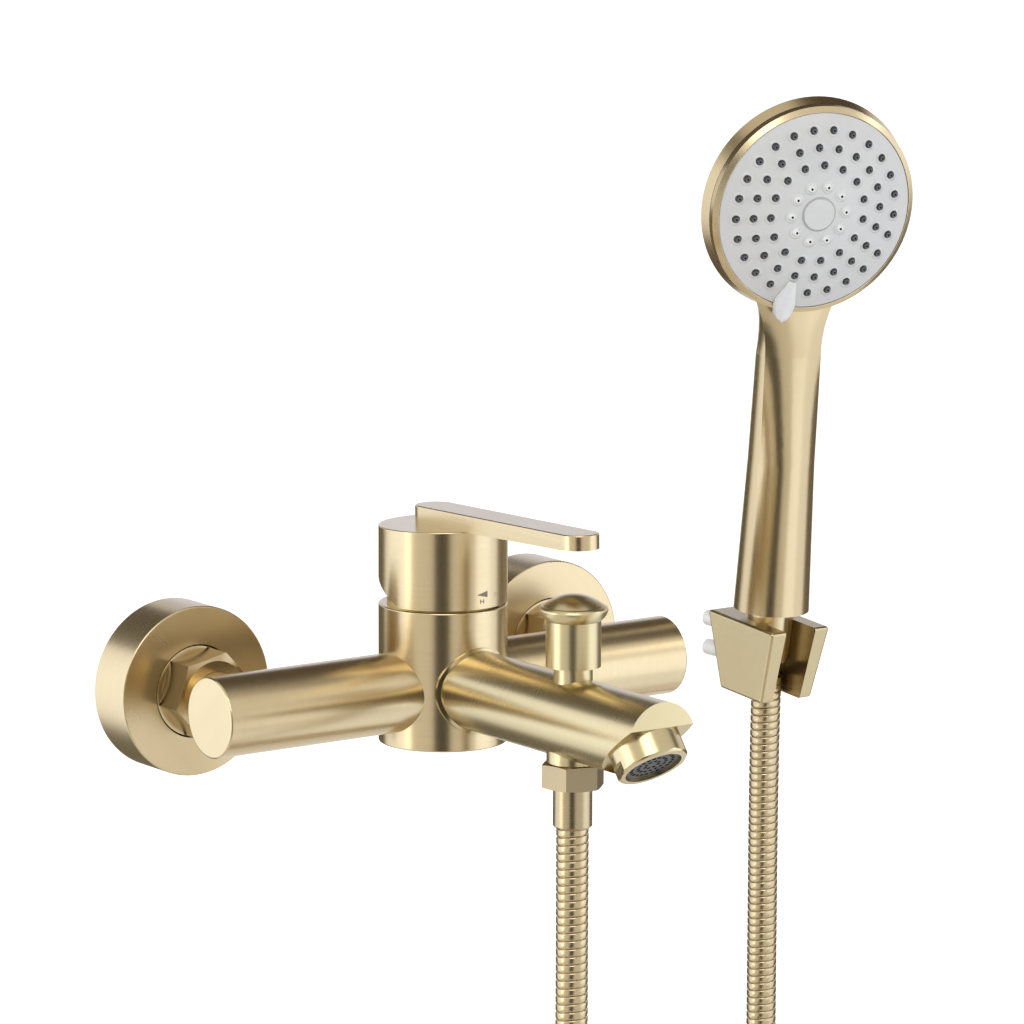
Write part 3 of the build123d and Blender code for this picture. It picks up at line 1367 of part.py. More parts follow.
# Spray plate that turns on the centre screw
plate_back = -plate_thickness
hub_end = distributor_front + slip_clearance
cap_floor = plate_crown - cap_depth
screw_seat = cap_floor - thread_clearance - centre_screw_head_height
with BuildPart() as spray_plate:
    crowned(face_frame, plate_radius, plate_back, 0, plate_crown)
    rod(face_frame, plate_hub_radius, hub_end, plate_back)
    with BuildSketch(face_frame.offset(plate_back)) as plate_holes:
        with Locations(*black_places, *white_places):
            Circle(nozzle_radius + thread_clearance)
    extrude(plate_holes.sketch, amount=plate_crown - plate_back, mode=Mode.SUBTRACT)
    cap_hole = cap_radius + thread_clearance
    rod(face_frame, cap_hole, cap_floor, plate_crown + overrun, mode=Mode.SUBTRACT)
    head_hole = centre_screw_head_radius + slip_clearance
    rod(face_frame, head_hole, screw_seat, cap_floor, mode=Mode.SUBTRACT)
    rod(face_frame, centre_screw_radius + slip_clearance, hub_end, screw_seat, mode=Mode.SUBTRACT)
save(spray_plate.part, "spray_plate")

# Soft nozzles: a mat behind the plate with cones that come through its holes
mat_back = plate_back - mat_thickness
black_mat_radius = ledge_radius - mat_edge_gap
hub_clear = plate_hub_radius + slip_clearance
black_mat = (black_places, black_mat_radius, black_mat_inner_radius, "black_nozzles")
white_mat = (white_places, white_mat_radius, hub_clear, "white_nozzles")
for places, mat_radius, mat_bore, name in (black_mat, white_mat):
    with BuildPart() as nozzles:
        tube(face_frame, mat_radius, mat_bore, mat_back, plate_back)
        for x, y in places:
            foot = face_frame.from_local_coords((x, y, 0))
            cone_frame = Plane(origin=foot, x_dir=face_frame.x_dir, z_dir=face_normal)
            surface = plate_height(sqrt(x**2 + y**2))
            cone = [
                (0, plate_back),
                (nozzle_radius, plate_back),
                (nozzle_radius, surface),
                (nozzle_tip_radius, surface + nozzle_proud),
                (0, surface + nozzle_proud),
            ]
            turned(cone_frame, cone)
        with BuildSketch(face_frame.offset(mat_back)) as nozzle_holes:
            with Locations(*places):
                Circle(nozzle_hole_radius)
        hole_length = plate_crown + nozzle_proud - mat_back
        extrude(nozzle_holes.sketch, amount=hole_length, mode=Mode.SUBTRACT)
    save(nozzles.part, name)

# Centre screw and its cap
with BuildPart() as centre_screw:
    rod(face_frame, centre_screw_head_radius, screw_seat, screw_seat + centre_screw_head_height)
    rod(face_frame, centre_screw_radius, screw_seat - centre_screw_length, screw_seat)
    screw_top = face_frame.offset(screw_seat + centre_screw_head_height)
    with BuildSketch(screw_top) as cross_slot:
        Rectangle(centre_screw_radius * 2, centre_screw_radius / 2)
        Rectangle(centre_screw_radius / 2, centre_screw_radius * 2)
    extrude(cross_slot.sketch, amount=-centre_screw_head_height / 2, mode=Mode.SUBTRACT)
save(centre_screw.part, "centre_screw")

with BuildPart() as centre_cap:
    rod(face_frame, cap_radius, cap_floor, plate_crown + cap_height)
    cap_rim = centre_cap.edges().sort_by(Axis(face_origin, face_normal))[-1]
    fillet(cap_rim, radius=cap_height / 2)
save(centre_cap.part, "centre_cap")

# Leaf-shaped tab that turns the spray plate, reaching out over the bright ring
tab_frame = spun(face_frame, tab_angle)
tab_lift = trim_proud + seat_gap
tab_inner_foot = plate_height(tab_inner_radius) + thread_clearance
tab_widest_foot = plate_height(tab_widest_radius) + thread_clearance
with BuildPart() as selector_tab:
    tab_section = Plane(origin=face_origin, x_dir=tab_frame.x_dir, z_dir=-tab_frame.y_dir)
    with BuildSketch(tab_section) as tab_profile:
        with BuildLine():
            Polyline(
                (tab_inner_radius, tab_inner_foot),
                (tab_widest_radius, tab_widest_foot),
                (plate_radius, tab_lift),
                (tab_outer_radius, tab_lift),
                (tab_outer_radius, tab_height),
                (tab_inner_radius, tab_inner_foot + tab_root_height),
                close=True,
            )
        make_face()
    extrude(tab_profile.sketch, amount=tab_width, both=True)
    with BuildSketch(tab_frame) as leaf:
        with Locations((tab_widest_radius, 0)):
            Ellipse(tab_outer_radius - tab_widest_radius, tab_width / 2)
        with BuildLine():
            Polyline(
                (tab_inner_radius, -tab_inner_width / 2),
                (tab_widest_radius, -tab_width / 2),
                (tab_widest_radius, tab_width / 2),
                (tab_inner_radius, tab_inner_width / 2),
                close=True,
            )
        make_face()
    extrude(leaf.sketch, amount=tab_height + overrun, mode=Mode.INTERSECT)
save(selector_tab.part, "selector_tab")
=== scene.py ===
import bmesh
import bpy
from math import cos, pi, radians, sin, sqrt
from mathutils import Matrix, Vector


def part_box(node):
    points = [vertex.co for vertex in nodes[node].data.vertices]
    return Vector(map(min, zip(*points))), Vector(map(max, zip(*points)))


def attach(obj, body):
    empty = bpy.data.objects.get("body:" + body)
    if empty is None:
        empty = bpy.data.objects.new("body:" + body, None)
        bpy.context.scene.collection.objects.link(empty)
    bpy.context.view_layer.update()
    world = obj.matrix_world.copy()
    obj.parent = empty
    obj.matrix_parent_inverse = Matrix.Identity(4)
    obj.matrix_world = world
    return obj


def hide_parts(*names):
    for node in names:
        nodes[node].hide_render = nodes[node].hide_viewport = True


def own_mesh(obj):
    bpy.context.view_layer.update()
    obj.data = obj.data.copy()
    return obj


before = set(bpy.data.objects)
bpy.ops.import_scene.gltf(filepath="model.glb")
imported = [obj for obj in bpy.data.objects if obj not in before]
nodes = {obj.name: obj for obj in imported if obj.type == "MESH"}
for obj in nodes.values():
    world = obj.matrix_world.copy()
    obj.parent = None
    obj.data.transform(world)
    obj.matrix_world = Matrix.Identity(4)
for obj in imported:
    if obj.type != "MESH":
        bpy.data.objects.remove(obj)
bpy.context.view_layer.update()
scene = bpy.context.scene
millimetre = 0.001
sideways, outwards, up = (1, 0, 0), (0, 1, 0), (0, 0, 1)


def towards(azimuth, elevation):
    """Way from the mixer to what stands at these angles in degrees. Straight in front is 0, 0."""
    turned, raised = radians(azimuth), radians(elevation)
    return Vector((sin(turned) * cos(raised), -cos(turned) * cos(raised), sin(raised)))


def placed(point, x_way, y_way, z_way):
    """Matrix that puts a thing at a point, with its own axes along these ways."""
    return Matrix.Translation(point) @ Matrix((x_way, y_way, z_way)).transposed().to_4x4()


# Camera: from the left and a little above, two metres away, with a slight roll
body_middle = Vector((0, -0.06, 0.0075))
picture_middle = Vector((0.02841, -0.06, 0.06564))
camera_roll = radians(0.17)
eye = body_middle + 2.0 * towards(-35, 11.65)
away = (eye - picture_middle).normalized()
level = Vector(up).cross(away).normalized()
upward = away.cross(level)
picture_right = level * cos(camera_roll) + upward * sin(camera_roll)
picture_top = upward * cos(camera_roll) - level * sin(camera_roll)
camera = bpy.data.objects.new("camera", bpy.data.cameras.new("camera"))
scene.collection.objects.link(camera)
camera.data.lens = 203.44
camera.data.sensor_width = 36
camera.matrix_world = placed(eye, picture_right, picture_top, away)
scene.camera = camera


class Wire:
    """An output of a shader node. Sums written with it add Math nodes."""

    def __init__(self, tree, socket=None):
        self.tree = tree
        self.socket = socket

    def node(self, kind, settings=None, sockets=None, output=0):
        """Adds a node: its settings first, then the values or links of its sockets."""
        made = self.tree.nodes.new(kind)
        for name, value in (settings or {}).items():
            setattr(made, name, value)
        for name, value in (sockets or {}).items():
            if isinstance(value, Wire):
                self.tree.links.new(value.socket, made.inputs[name])
            else:
                made.inputs[name].default_value = value
        return Wire(self.tree, made.outputs[output])

    def maths(self, operation, *values):
        return self.node("ShaderNodeMath", {"operation": operation}, dict(enumerate(values)))

    def __add__(self, other):
        return self.maths("ADD", self, other)

    def __sub__(self, other):
        return self.maths("SUBTRACT", self, other)

    def __rsub__(self, other):
        return self.maths("SUBTRACT", other, self)

    def __mul__(self, other):
        return self.maths("MULTIPLY", self, other)

    def __truediv__(self, other):
        return self.maths("DIVIDE", self, other)

    def __pow__(self, other):
        return self.maths("POWER", self, other)

    def __abs__(self):
        return self.maths("ABSOLUTE", self)

    __radd__ = __add__
    __rmul__ = __mul__

    def least(self, other):
        return self.maths("MINIMUM", self, other)

    def ramp(self, low, high, start=0.0, end=1.0):
        """Goes smoothly from start to end while the value goes from low to high."""
        sockets = {0: self, 1: low, 2: high, 3: start, 4: end}
        return self.node("ShaderNodeMapRange", {"interpolation_type": "SMOOTHSTEP"}, sockets)

    def blend(self, first, second):
        """A colour between two, by this value."""
        return self.node("ShaderNodeMix", {"data_type": "RGBA"}, {0: self, 6: first, 7: second}, 2)

    def parts(self):
        split = self.node("ShaderNodeSeparateXYZ", None, {0: self})
        return [Wire(self.tree, output) for output in split.socket.node.outputs]

    def from_point(self, point):
        return self.node("ShaderNodeVectorMath", {"operation": "SUBTRACT"}, {0: self, 1: point})

    def along(self, way):
        return self.node("ShaderNodeVectorMath", {"operation": "DOT_PRODUCT"}, {0: self, 1: way}, 1)

    def scaled(self, factors):
        return self.node("ShaderNodeVectorMath", {"operation": "MULTIPLY"}, {0: self, 1: factors})

    def noise(self, scale, detail=2.0, roughness=0.5):
        sockets = {"Vector": self, "Scale": scale, "Detail": detail, "Roughness": roughness}
        return self.node("ShaderNodeTexNoise", None, sockets)


def vector(x, y, z):
    wire = next(value for value in (x, y, z) if isinstance(value, Wire))
    return wire.node("ShaderNodeCombineXYZ", None, {0: x, 1: y, 2: z})


def colour(red, green, blue):
    return (red, green, blue, 1.0)


def tinted(tone, factors):
    """A tone with its red, green and blue each times a factor of its own, as a colour."""
    return colour(*[min(1.0, value * factor) for value, factor in zip(tone, factors)])


def start_material(name):
    """A new material, its place on the piece, and its Principled shader."""
    material = bpy.data.materials.new(name)
    material.use_nodes = True
    place = Wire(material.node_tree).node("ShaderNodeTexCoord", None, None, "Object")
    return material, place, material.node_tree.nodes["Principled BSDF"]


def finish_material(material, shader, metallic, tone, matt, height, depth):
    """Links the colour, the roughness and a bump of this depth to the shader."""
    bump = height.node("ShaderNodeBump", None, {"Strength": 1.0, "Distance": depth, "Height": height})
    for name, wire in (("Base Color", tone), ("Roughness", matt), ("Normal", bump)):
        material.node_tree.links.new(wire.socket, shader.inputs[name])
    shader.inputs["Metallic"].default_value = metallic
    return material


def gold(name, tone, roughness, grain, streak, turned=None, drawn=None, marks=None, depth=0.000004):
    """Champagne gold plating with fine streaks: turned round an axis, drawn along one, or blasted."""
    coarser = 0.31
    material, place, shader = start_material(name)
    if turned:
        centre, axis = turned
        across = place.from_point(centre)
        run, drift = across.along(axis), across.along((3.1, 2.3, 2.7))
        # Read in one layer of the noise, so that the streaks run round the axis
        layer = sqrt(0.5)
        lines = vector(layer * grain, run * grain, drift * 26.0).noise(1.0, 3.0, 0.6)
        coarse = grain * coarser
        strands = vector(layer * coarse, run * coarse, drift * 38.0).noise(1.0, 2.0)
    elif drawn:
        spread = [60.0 if way else grain for way in drawn]
        lines = place.scaled(spread).noise(1.0, 3.0, 0.6)
        strands = place.scaled([value * coarser for value in spread]).noise(1.0, 2.0)
    else:
        lines = place.noise(grain, 3.0, 0.6)
        strands = place.noise(grain * 0.2, 2.0)
    cloud = place.noise(38.0, 3.0)
    shade = lines.ramp(0.25, 0.75, 0.0, 0.55 * streak) + strands.ramp(0.3, 0.7, 0.0, 0.45 * streak)
    dull, warm = tinted(tone, (0.94, 0.94, 0.94)), tinted(tone, (1.03, 1.03, 1.02))
    handled = tinted(tone, (0.95, 0.91, 0.86))
    surface = cloud.ramp(0.42, 0.78, 0.0, 0.35).blend(shade.blend(dull, warm), handled)
    matt = roughness + (lines - 0.5) * (0.06 * streak) + (cloud - 0.5) * 0.04
    if marks:
        printed = marks(place)
        surface = printed.blend(surface, colour(0.17, 0.145, 0.115))
        matt = matt + printed * 0.25
    height = lines * 0.7 + strands * 0.3
    return finish_material(material, shader, 1.0, surface, matt, height, depth * streak)


def plain(name, tone, roughness, metallic=0.0, grain=900.0, depth=0.00002, spread=0.08):
    """Cast, moulded or drawn stuff with a fine grain and slight patches."""
    material, place, shader = start_material(name)
    fine = place.noise(grain, 3.0, 0.6)
    cloud = place.noise(45.0, 3.0)
    dark, light = tinted(tone, [1 - spread] * 3), tinted(tone, [1 + spread] * 3)
    surface = (fine * 0.5 + cloud * 0.5).ramp(0.3, 0.7).blend(dark, light)
    matt = roughness + (fine - 0.5) * 0.08 + (cloud - 0.5) * 0.08
    return finish_material(material, shader, metallic, surface, matt, fine, depth)


body_axis = (0.0, -0.059, 0.0075)
hot_axis, cold_axis = (-0.075, 0, 0.0075), (0.075, 0, 0.0075)
spout_axis = (0, 0, 0.0092)
aerator_middle, aerator_way = (0, -0.17547, 0.00595), (0, 0.606, 0.7955)
diverter_axis = (0, -0.135, 0)
dome_radius = 22.3


def handle_marks(place):
    """Mask of the marks for hot on the dome. In millimetres, u goes round the dome and v up it."""
    x, y, z = place.parts()
    u = x.maths("ARCTAN2", x, body_axis[1] - y) * dome_radius
    v = z * 1000 - 1000 * body_axis[2]
    # Filled arrow
    tip, base, height, slope, soft = -1.5, 3.1, 35.3, 0.25, 0.06
    arrow = ((u - tip) * slope - abs(v - height)).ramp(-soft, soft) * (base - u).ramp(-soft, soft)
    # Letter H: two posts with a bar between them
    letter_u, letter_v, post_u, half_height = 0.72, 32.95, 0.66, 0.66
    beside, high = abs(u - letter_u), abs(v - letter_v)
    posts = abs(beside - post_u).ramp(0.16, 0.28, 1.0, 0.0)
    bar = high.ramp(0.1, 0.2, 1.0, 0.0) * beside.ramp(0.62, 0.7, 1.0, 0.0)
    letter = (posts + bar).least(1.0) * high.ramp(half_height, half_height + 0.1, 1.0, 0.0)
    # Small open arrow: a thin line just inside its outline
    tip, base, height, slope, line_inset = 8.25, 6.37, 34.67, 0.479, 0.12
    flank = ((tip - u) * slope - abs(v - height)) / sqrt(1 + slope**2)
    outline = abs(flank.least(u - base) - line_inset).ramp(0.05, 0.14, 0.6, 0.0)
    return (arrow + letter + outline).least(1.0)


# Gold of each piece: tone, roughness, fineness of its streaks and how far they show
satin = (0.572, 0.453, 0.264)
olive = (0.56, 0.46, 0.26)
pale = (0.53, 0.415, 0.237)
umber = (0.44, 0.35, 0.21)
body_turned = (body_axis, up)
gold_barrel = gold("gold_barrel", satin, 0.245, 3400.0, 0.6, body_turned)
gold_dome = gold("gold_dome", satin, 0.245, 3400.0, 0.6, body_turned, marks=handle_marks)
gold_arm = gold("gold_arm", satin, 0.26, 3400.0, 0.6, (body_axis, sideways))
cover_depth = 0.000012
gold_hot_cover = gold("gold_hot_cover", satin, 0.28, 3000.0, 0.7, (hot_axis, outwards), depth=cover_depth)
gold_cold_cover = gold("gold_cold_cover", satin, 0.28, 3000.0, 0.7, (cold_axis, outwards), depth=cover_depth)
gold_nut = gold("gold_nut", satin, 0.24, 1800.0, 0.6)
gold_blade = gold("gold_blade", satin, 0.26, 3200.0, 0.7, drawn=outwards)
gold_spout = gold("gold_spout", olive, 0.27, 2600.0, 0.2, (spout_axis, outwards))
gold_ring = gold("gold_ring", olive, 0.18, 2600.0, 0.3, (spout_axis, outwards))
gold_aerator = gold("gold_aerator", olive, 0.22, 2600.0, 0.4, (aerator_middle, aerator_way))
gold_knob = gold("gold_knob", olive, 0.3, 2800.0, 0.4, (diverter_axis, up))
gold_hose_nut = gold("gold_hose_nut", (0.335, 0.265, 0.16), 0.3, 1800.0, 0.6)
gold_ferrule = gold("gold_ferrule", umber, 0.27, 2800.0, 0.6, (diverter_axis, up))
gold_hose = gold("gold_hose", (0.53, 0.42, 0.25), 0.27, 1600.0, 0.5)
gold_bracket = gold("gold_bracket", (0.48, 0.385, 0.212), 0.3, 1800.0, 0.5)
gold_shell = gold("gold_shell", pale, 0.25, 2200.0, 0.25)
gold_trim = gold("gold_trim", (0.60, 0.487, 0.30), 0.24, 2200.0, 0.25)

# Bare metals, seals and plastics
raw_brass = plain("raw_brass", (0.62, 0.46, 0.20), 0.34, 1.0, 700.0, 0.00003)
brushed_steel = plain("brushed_steel", (0.55, 0.55, 0.56), 0.3, 1.0, 1500.0, 0.00001)
rubber = plain("rubber", (0.03, 0.03, 0.031), 0.4, depth=0.00003)
strap_rubber = plain("strap_rubber", (0.03, 0.03, 0.032), 0.5, grain=1200.0, depth=0.00004)
fibre = plain("fibre", (0.32, 0.23, 0.15), 0.85, 0.0, 600.0, 0.00006, 0.2)
ceramic = plain("ceramic", (0.78, 0.77, 0.74), 0.2, 0.0, 400.0, 0.00001, 0.03)
dark_plastic = plain("dark_plastic", (0.035, 0.036, 0.042), 0.38)
grey_plastic = plain("grey_plastic", (0.45, 0.45, 0.45), 0.5)
white_plastic = plain("white_plastic", (0.86, 0.86, 0.85), 0.32, 0.0, 700.0, 0.00001, 0.02)
tab_plastic = plain("tab_plastic", (0.78, 0.78, 0.785), 0.3, 0.0, 700.0, 0.00001, 0.02)
cap_plastic = plain("cap_plastic", (0.70, 0.70, 0.695), 0.36, 0.0, 800.0, 0.00001, 0.02)

# Frame of the hand shower's face, from its handle's lean and the face's turn and tilt
lean, turn, tilt = radians(5.0), radians(15.6), radians(6.7)
handle_foot, face_rise, face_reach = Vector((0.172, -0.0231, 0.0063)), 0.1558, 0.0148
handle_way = Vector((0, -sin(lean), cos(lean)))
face_side = Vector((cos(turn), -sin(turn) * cos(lean), -sin(turn) * sin(lean)))
forwards = face_side.cross(handle_way)
face_normal = forwards * cos(tilt) - handle_way * sin(tilt)
face_up = face_normal.cross(face_side)
face_centre = handle_foot + handle_way * face_rise + forwards * face_reach

# Rings of nozzles: radius in millimetres and count. Each ring's first nozzle is at the same angle
black_rings = ((18.1, 15), (24.4, 20), (30.7, 25))
white_rings = ((10.4, 10),)
first_nozzle = radians(112.4)


def face_place(place):
    """Distance in millimetres from the middle of the hand shower's face, and the angle round it."""
    offset = place.from_point(face_centre)
    u = offset.along(face_side) * 1000
    v = offset.along(face_up) * 1000
    return (u * u + v * v) ** 0.5, v.maths("ARCTAN2", v, u)


def from_nozzles(reach, angle, rings):
    """Distance in millimetres from the nearest nozzle of some rings."""
    nearest = None
    for radius, count in rings:
        step = 2 * pi / count
        turns = (angle - first_nozzle) / step + 0.5
        sidestep = (turns.maths("FRACT", turns) - 0.5) * (step * radius)
        distance = ((reach - radius) ** 2 + sidestep ** 2) ** 0.5
        nearest = distance if nearest is None else nearest.least(distance)
    return nearest


def sprayed_plate(name):
    """Pale moulded plate with a raised collar round each nozzle, painted lighter as a highlight, and a
    groove round the cap, painted darker as shade.
    """
    cap_edge, collar_radius, collar_foot = 6.2, 2.0, 2.5
    material, place, shader = start_material(name)
    reach, angle = face_place(place)
    collar = from_nozzles(reach, angle, black_rings + white_rings)
    collar = collar.ramp(collar_radius, collar_foot, 1.0, 0.0)
    groove = abs(reach - cap_edge).ramp(0.1, 0.3, 1.0, 0.0)
    fine = place.noise(800.0, 3.0, 0.6)
    cloud = place.noise(45.0, 3.0)
    ground = cloud.ramp(0.3, 0.7).blend(colour(0.67, 0.67, 0.665), colour(0.71, 0.71, 0.705))
    # The collars are painted lighter than the plate: a painted highlight
    collar_highlighted = (collar * 0.35).blend(ground, colour(0.86, 0.86, 0.855))
    # The groove round the cap is painted darker: painted shade in the recess
    surface = (groove * 0.5).blend(collar_highlighted, colour(0.30, 0.30, 0.30))
    matt = 0.34 + (fine - 0.5) * 0.08
    height = collar * 0.6 + fine * 0.03 - groove * 0.5
    return finish_material(material, shader, 0.0, surface, matt, height, 0.00035)


def nozzle_stuff(name, rings, side, tip, bore, tip_radius, bore_radius):
    """Soft nozzle stuff: the sides of the cones, their lighter grey tips and the bore in each, painted dark
    as shade.
    """
    tip_edge, bore_edge = 0.12, 0.08
    material, place, shader = start_material(name)
    nearest = from_nozzles(*face_place(place), rings)
    fine = place.noise(900.0, 3.0, 0.6)
    # Tips a lighter grey than the sides of the cones
    lighter_tip = nearest.ramp(tip_radius - tip_edge, tip_radius + tip_edge, 1.0, 0.0)
    # The bore is painted dark: painted shade inside each nozzle's hole
    bore_shade = nearest.ramp(bore_radius - bore_edge, bore_radius + bore_edge, 1.0, 0.0)
    surface = bore_shade.blend(lighter_tip.blend(colour(*side), colour(*tip)), colour(*bore))
    matt = 0.4 + (fine - 0.5) * 0.1
    return finish_material(material, shader, 0.0, surface, matt, fine, 0.00002)


# The bore colours of both kinds of nozzle, the third here and shadow below, are painted shade
black, grey, painted_bore_shade = (0.025, 0.025, 0.026), (0.11, 0.11, 0.112), (0.004, 0.004, 0.004)
milk, shadow = (0.88, 0.88, 0.87), (0.05, 0.05, 0.05)
spray_face = sprayed_plate("spray_face")
nozzle_rubber = nozzle_stuff("nozzle_rubber", black_rings, black, grey, painted_bore_shade, 0.8, 0.42)
nozzle_white = nozzle_stuff("nozzle_white", white_rings, milk, milk, shadow, 0.9, 0.5)

finishes = (
    (gold_barrel, "mixer_body"),
    (gold_dome, "handle_dome"),
    (gold_arm, "hot_arm", "cold_arm"),
    (gold_hot_cover, "hot_escutcheon"),
    (gold_cold_cover, "cold_escutcheon"),
    (gold_nut, "union_nuts", "cone_nut"),
    (gold_blade, "lever_blade", "screw_cover"),
    (gold_spout, "spout"),
    (gold_ring, "spout_ring"),
    (gold_aerator, "aerator_housing"),
    (gold_knob, "diverter_bush", "diverter_knob"),
    (gold_hose_nut, "hose_nut"),
    (gold_ferrule, "hose_ferrule"),
    (gold_bracket, "bracket_holder"),
    (gold_shell, "handset_shell"),
    (gold_trim, "trim_ring"),
    (raw_brass, "hot_union", "cold_union", "inlet_nipples", "hose_outlet", "cone_insert"),
    (raw_brass, "cartridge_nut", "cartridge_stem", "diverter_plug"),
    (brushed_steel, "diverter_rod", "diverter_spring", "stem_pin", "handle_screw"),
    (brushed_steel, "blade_screw", "bracket_screws", "centre_screw"),
    (rubber, "escutcheon_rings", "spout_seal", "aerator_washer", "hose_washer", "handset_washer"),
    (fibre, "filter_washers"),
    (ceramic, "fixed_disc", "moving_disc"),
    (dark_plastic, "aerator_insert", "cartridge_base", "stem_carrier"),
    (grey_plastic, "cartridge_housing"),
    (white_plastic, "check_valves", "wall_plugs", "distributor", "selector_tab"),
    (spray_face, "spray_plate"),
    (nozzle_rubber, "black_nozzles"),
    (nozzle_white, "white_nozzles"),
    (cap_plastic, "centre_cap"),
)
for material, *names in finishes:
    for name in names:
        for slot in nodes[name].material_slots:
            slot.material = material

# Hose, in millimetres: one smooth line from the ferrule down, through the tied coil and up to the cone
coil_across = Vector((172, 114.98, 0)).normalized()
coil_normal = coil_across.cross(Vector(up))
coil_centre = Vector((86, -77.51, -242.5))
coil_radius, coil_pitch, coil_turns, coil_steps = 66, 12, 2.5, 12
coil_reach = coil_radius / cos(pi / coil_steps)
route = [Vector((0, -135, -28.47)), Vector((0, -135, -99.97)), Vector((0, -135, -147.0))]
route.append(Vector((22.2, -100.9, -206.5)))
for step in range(int(coil_turns * coil_steps)):
    wound = (step + 0.5) / coil_steps
    spoke = coil_across * -cos(2 * pi * wound) + Vector((0, 0, -sin(2 * pi * wound)))
    sidestep = coil_pitch * (wound - coil_turns / 2)
    route.append(coil_centre + coil_normal * sidestep + spoke * coil_reach)
route += [Vector((149.6, -53.9, -215.6)), Vector((172, -20.02, -180.4)), Vector((172, -20.02, -142.5))]
route += [Vector((172, -20.02, -28.96)), Vector((172, -21.76, -9.04))]
hose_curve = bpy.data.curves.new("hose_line", "CURVE")
hose_curve.dimensions = "3D"
hose_curve.resolution_u = 24
spline = hose_curve.splines.new("NURBS")
spline.points.add(len(route) - 1)
for point, place in zip(spline.points, route):
    point.co = (*(place * millimetre), 1)
spline.order_u = 3
spline.use_endpoint_u = True
hose_line = bpy.data.objects.new("hose_line", hose_curve)
scene.collection.objects.link(hose_line)
line = [vertex.co.copy() for vertex in bpy.data.meshes.new_from_object(hose_line).vertices]
bpy.data.objects.remove(hose_line)
runs = [0.0]
for first, second in zip(line, line[1:]):
    runs.append(runs[-1] + (second - first).length)


def wound_hose():
    """Interlocked strip hose: one rib that winds round the line as a long screw."""
    hose_radius, hose_valley, rib_pitch, around = 0.0055, 0.0049, 0.00275, 20
    # One rib: its share of the pitch, and its height between valley and radius
    profile = [(0.0, 0.0), (0.05, 0.82), (0.16, 1.0), (0.76, 1.0), (0.89, 0.8), (0.94, 0.02)]
    tucked_in = 0.0014
    rows = (int(runs[-1] / rib_pitch) - 1) * around + 1

    # A normal and a binormal at each point of the line, carried along it without twist
    frames = []
    normal = Vector(sideways)
    for index, point in enumerate(line):
        tangent = (line[min(index + 1, len(line) - 1)] - line[max(index - 1, 0)]).normalized()
        normal = (normal - tangent * normal.dot(tangent)).normalized()
        frames.append((point, normal, tangent.cross(normal)))

    vertices = []
    segment = 0
    for step in range(rows):
        angle = 2 * pi * step / around
        for share, rise in profile:
            run = (step / around + share) * rib_pitch - tucked_in
            while segment < len(runs) - 2 and runs[segment + 1] < run:
                segment += 1
            while segment > 0 and runs[segment] > run:
                segment -= 1
            part = min(1.0, (run - runs[segment]) / (runs[segment + 1] - runs[segment]))
            behind, ahead = frames[segment], frames[segment + 1]
            point = behind[0].lerp(ahead[0], part)
            first = behind[1].lerp(ahead[1], part).normalized()
            second = behind[2].lerp(ahead[2], part).normalized()
            radius = hose_valley + (hose_radius - hose_valley) * rise
            vertices.append(point + (first * cos(angle) + second * sin(angle)) * radius)

    # Faces along the rib, and from each rib's end to the next one's start a turn on
    faces = []
    width = len(profile)
    for step in range(rows - 1):
        for row in range(width):
            here = step * width + row
            if row < width - 1:
                faces.append((here, here + width, here + width + 1, here + 1))
            elif step + around + 1 < rows:
                above = (step + around) * width
                faces.append((here, here + width, above + width, above))
    mesh = bpy.data.meshes.new("hose")
    mesh.from_pydata(vertices, [], faces)
    made = bmesh.new()
    made.from_mesh(mesh)
    rims = [edge for edge in made.edges if edge.is_boundary]
    bmesh.ops.holes_fill(made, edges=rims, sides=0)
    bmesh.ops.recalc_face_normals(made, faces=made.faces)
    made.to_mesh(mesh)
    made.free()
    for polygon in mesh.polygons:
        polygon.use_smooth = True
    mesh.materials.append(gold_hose)
    piece = bpy.data.objects.new("hose", mesh)
    scene.collection.objects.link(piece)
    return piece


hose = wound_hose()
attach(hose, "fixed")
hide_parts("hose_drop", "hose_coil", "hose_rise")


def start_piece():
    """Leaves edit mode with nothing selected."""
    if bpy.context.object and bpy.context.object.mode != "OBJECT":
        bpy.ops.object.mode_set(mode="OBJECT")
    bpy.ops.object.select_all(action="DESELECT")


def take_up(piece):
    """Makes a piece the only selected one, and the active one."""
    start_piece()
    piece.select_set(True)
    bpy.context.view_layer.objects.active = piece


def use_modifier(piece, kind, settings):
    made = piece.modifiers.new(kind.lower(), kind)
    for name, value in settings.items():
        setattr(made, name, value)
    bpy.context.view_layer.objects.active = piece
    bpy.ops.object.modifier_apply(modifier=made.name)


def pick(piece, wanted):
    """Selects the vertices that a test on their place accepts, in edit mode."""
    bpy.ops.object.mode_set(mode="OBJECT")
    for edge in piece.data.edges:
        edge.select = False
    for polygon in piece.data.polygons:
        polygon.select = False
    for vertex in piece.data.vertices:
        vertex.select = wanted(vertex.co)
    bpy.ops.object.mode_set(mode="EDIT")


def place_piece(piece, name, matrix, material):
    """Puts the finished mesh at its place, with its faces outwards and its object at the origin."""
    piece.data.transform(matrix)
    bpy.ops.object.mode_set(mode="EDIT")
    bpy.ops.mesh.select_all(action="SELECT")
    bpy.ops.mesh.remove_doubles(threshold=0.000001)
    bpy.ops.mesh.normals_make_consistent(inside=False)
    bpy.ops.object.mode_set(mode="OBJECT")
    bpy.ops.object.shade_smooth_by_angle(angle=radians(35))
    piece.name = name
    piece.data.name = name
    piece.data.materials.clear()
    piece.data.materials.append(material)


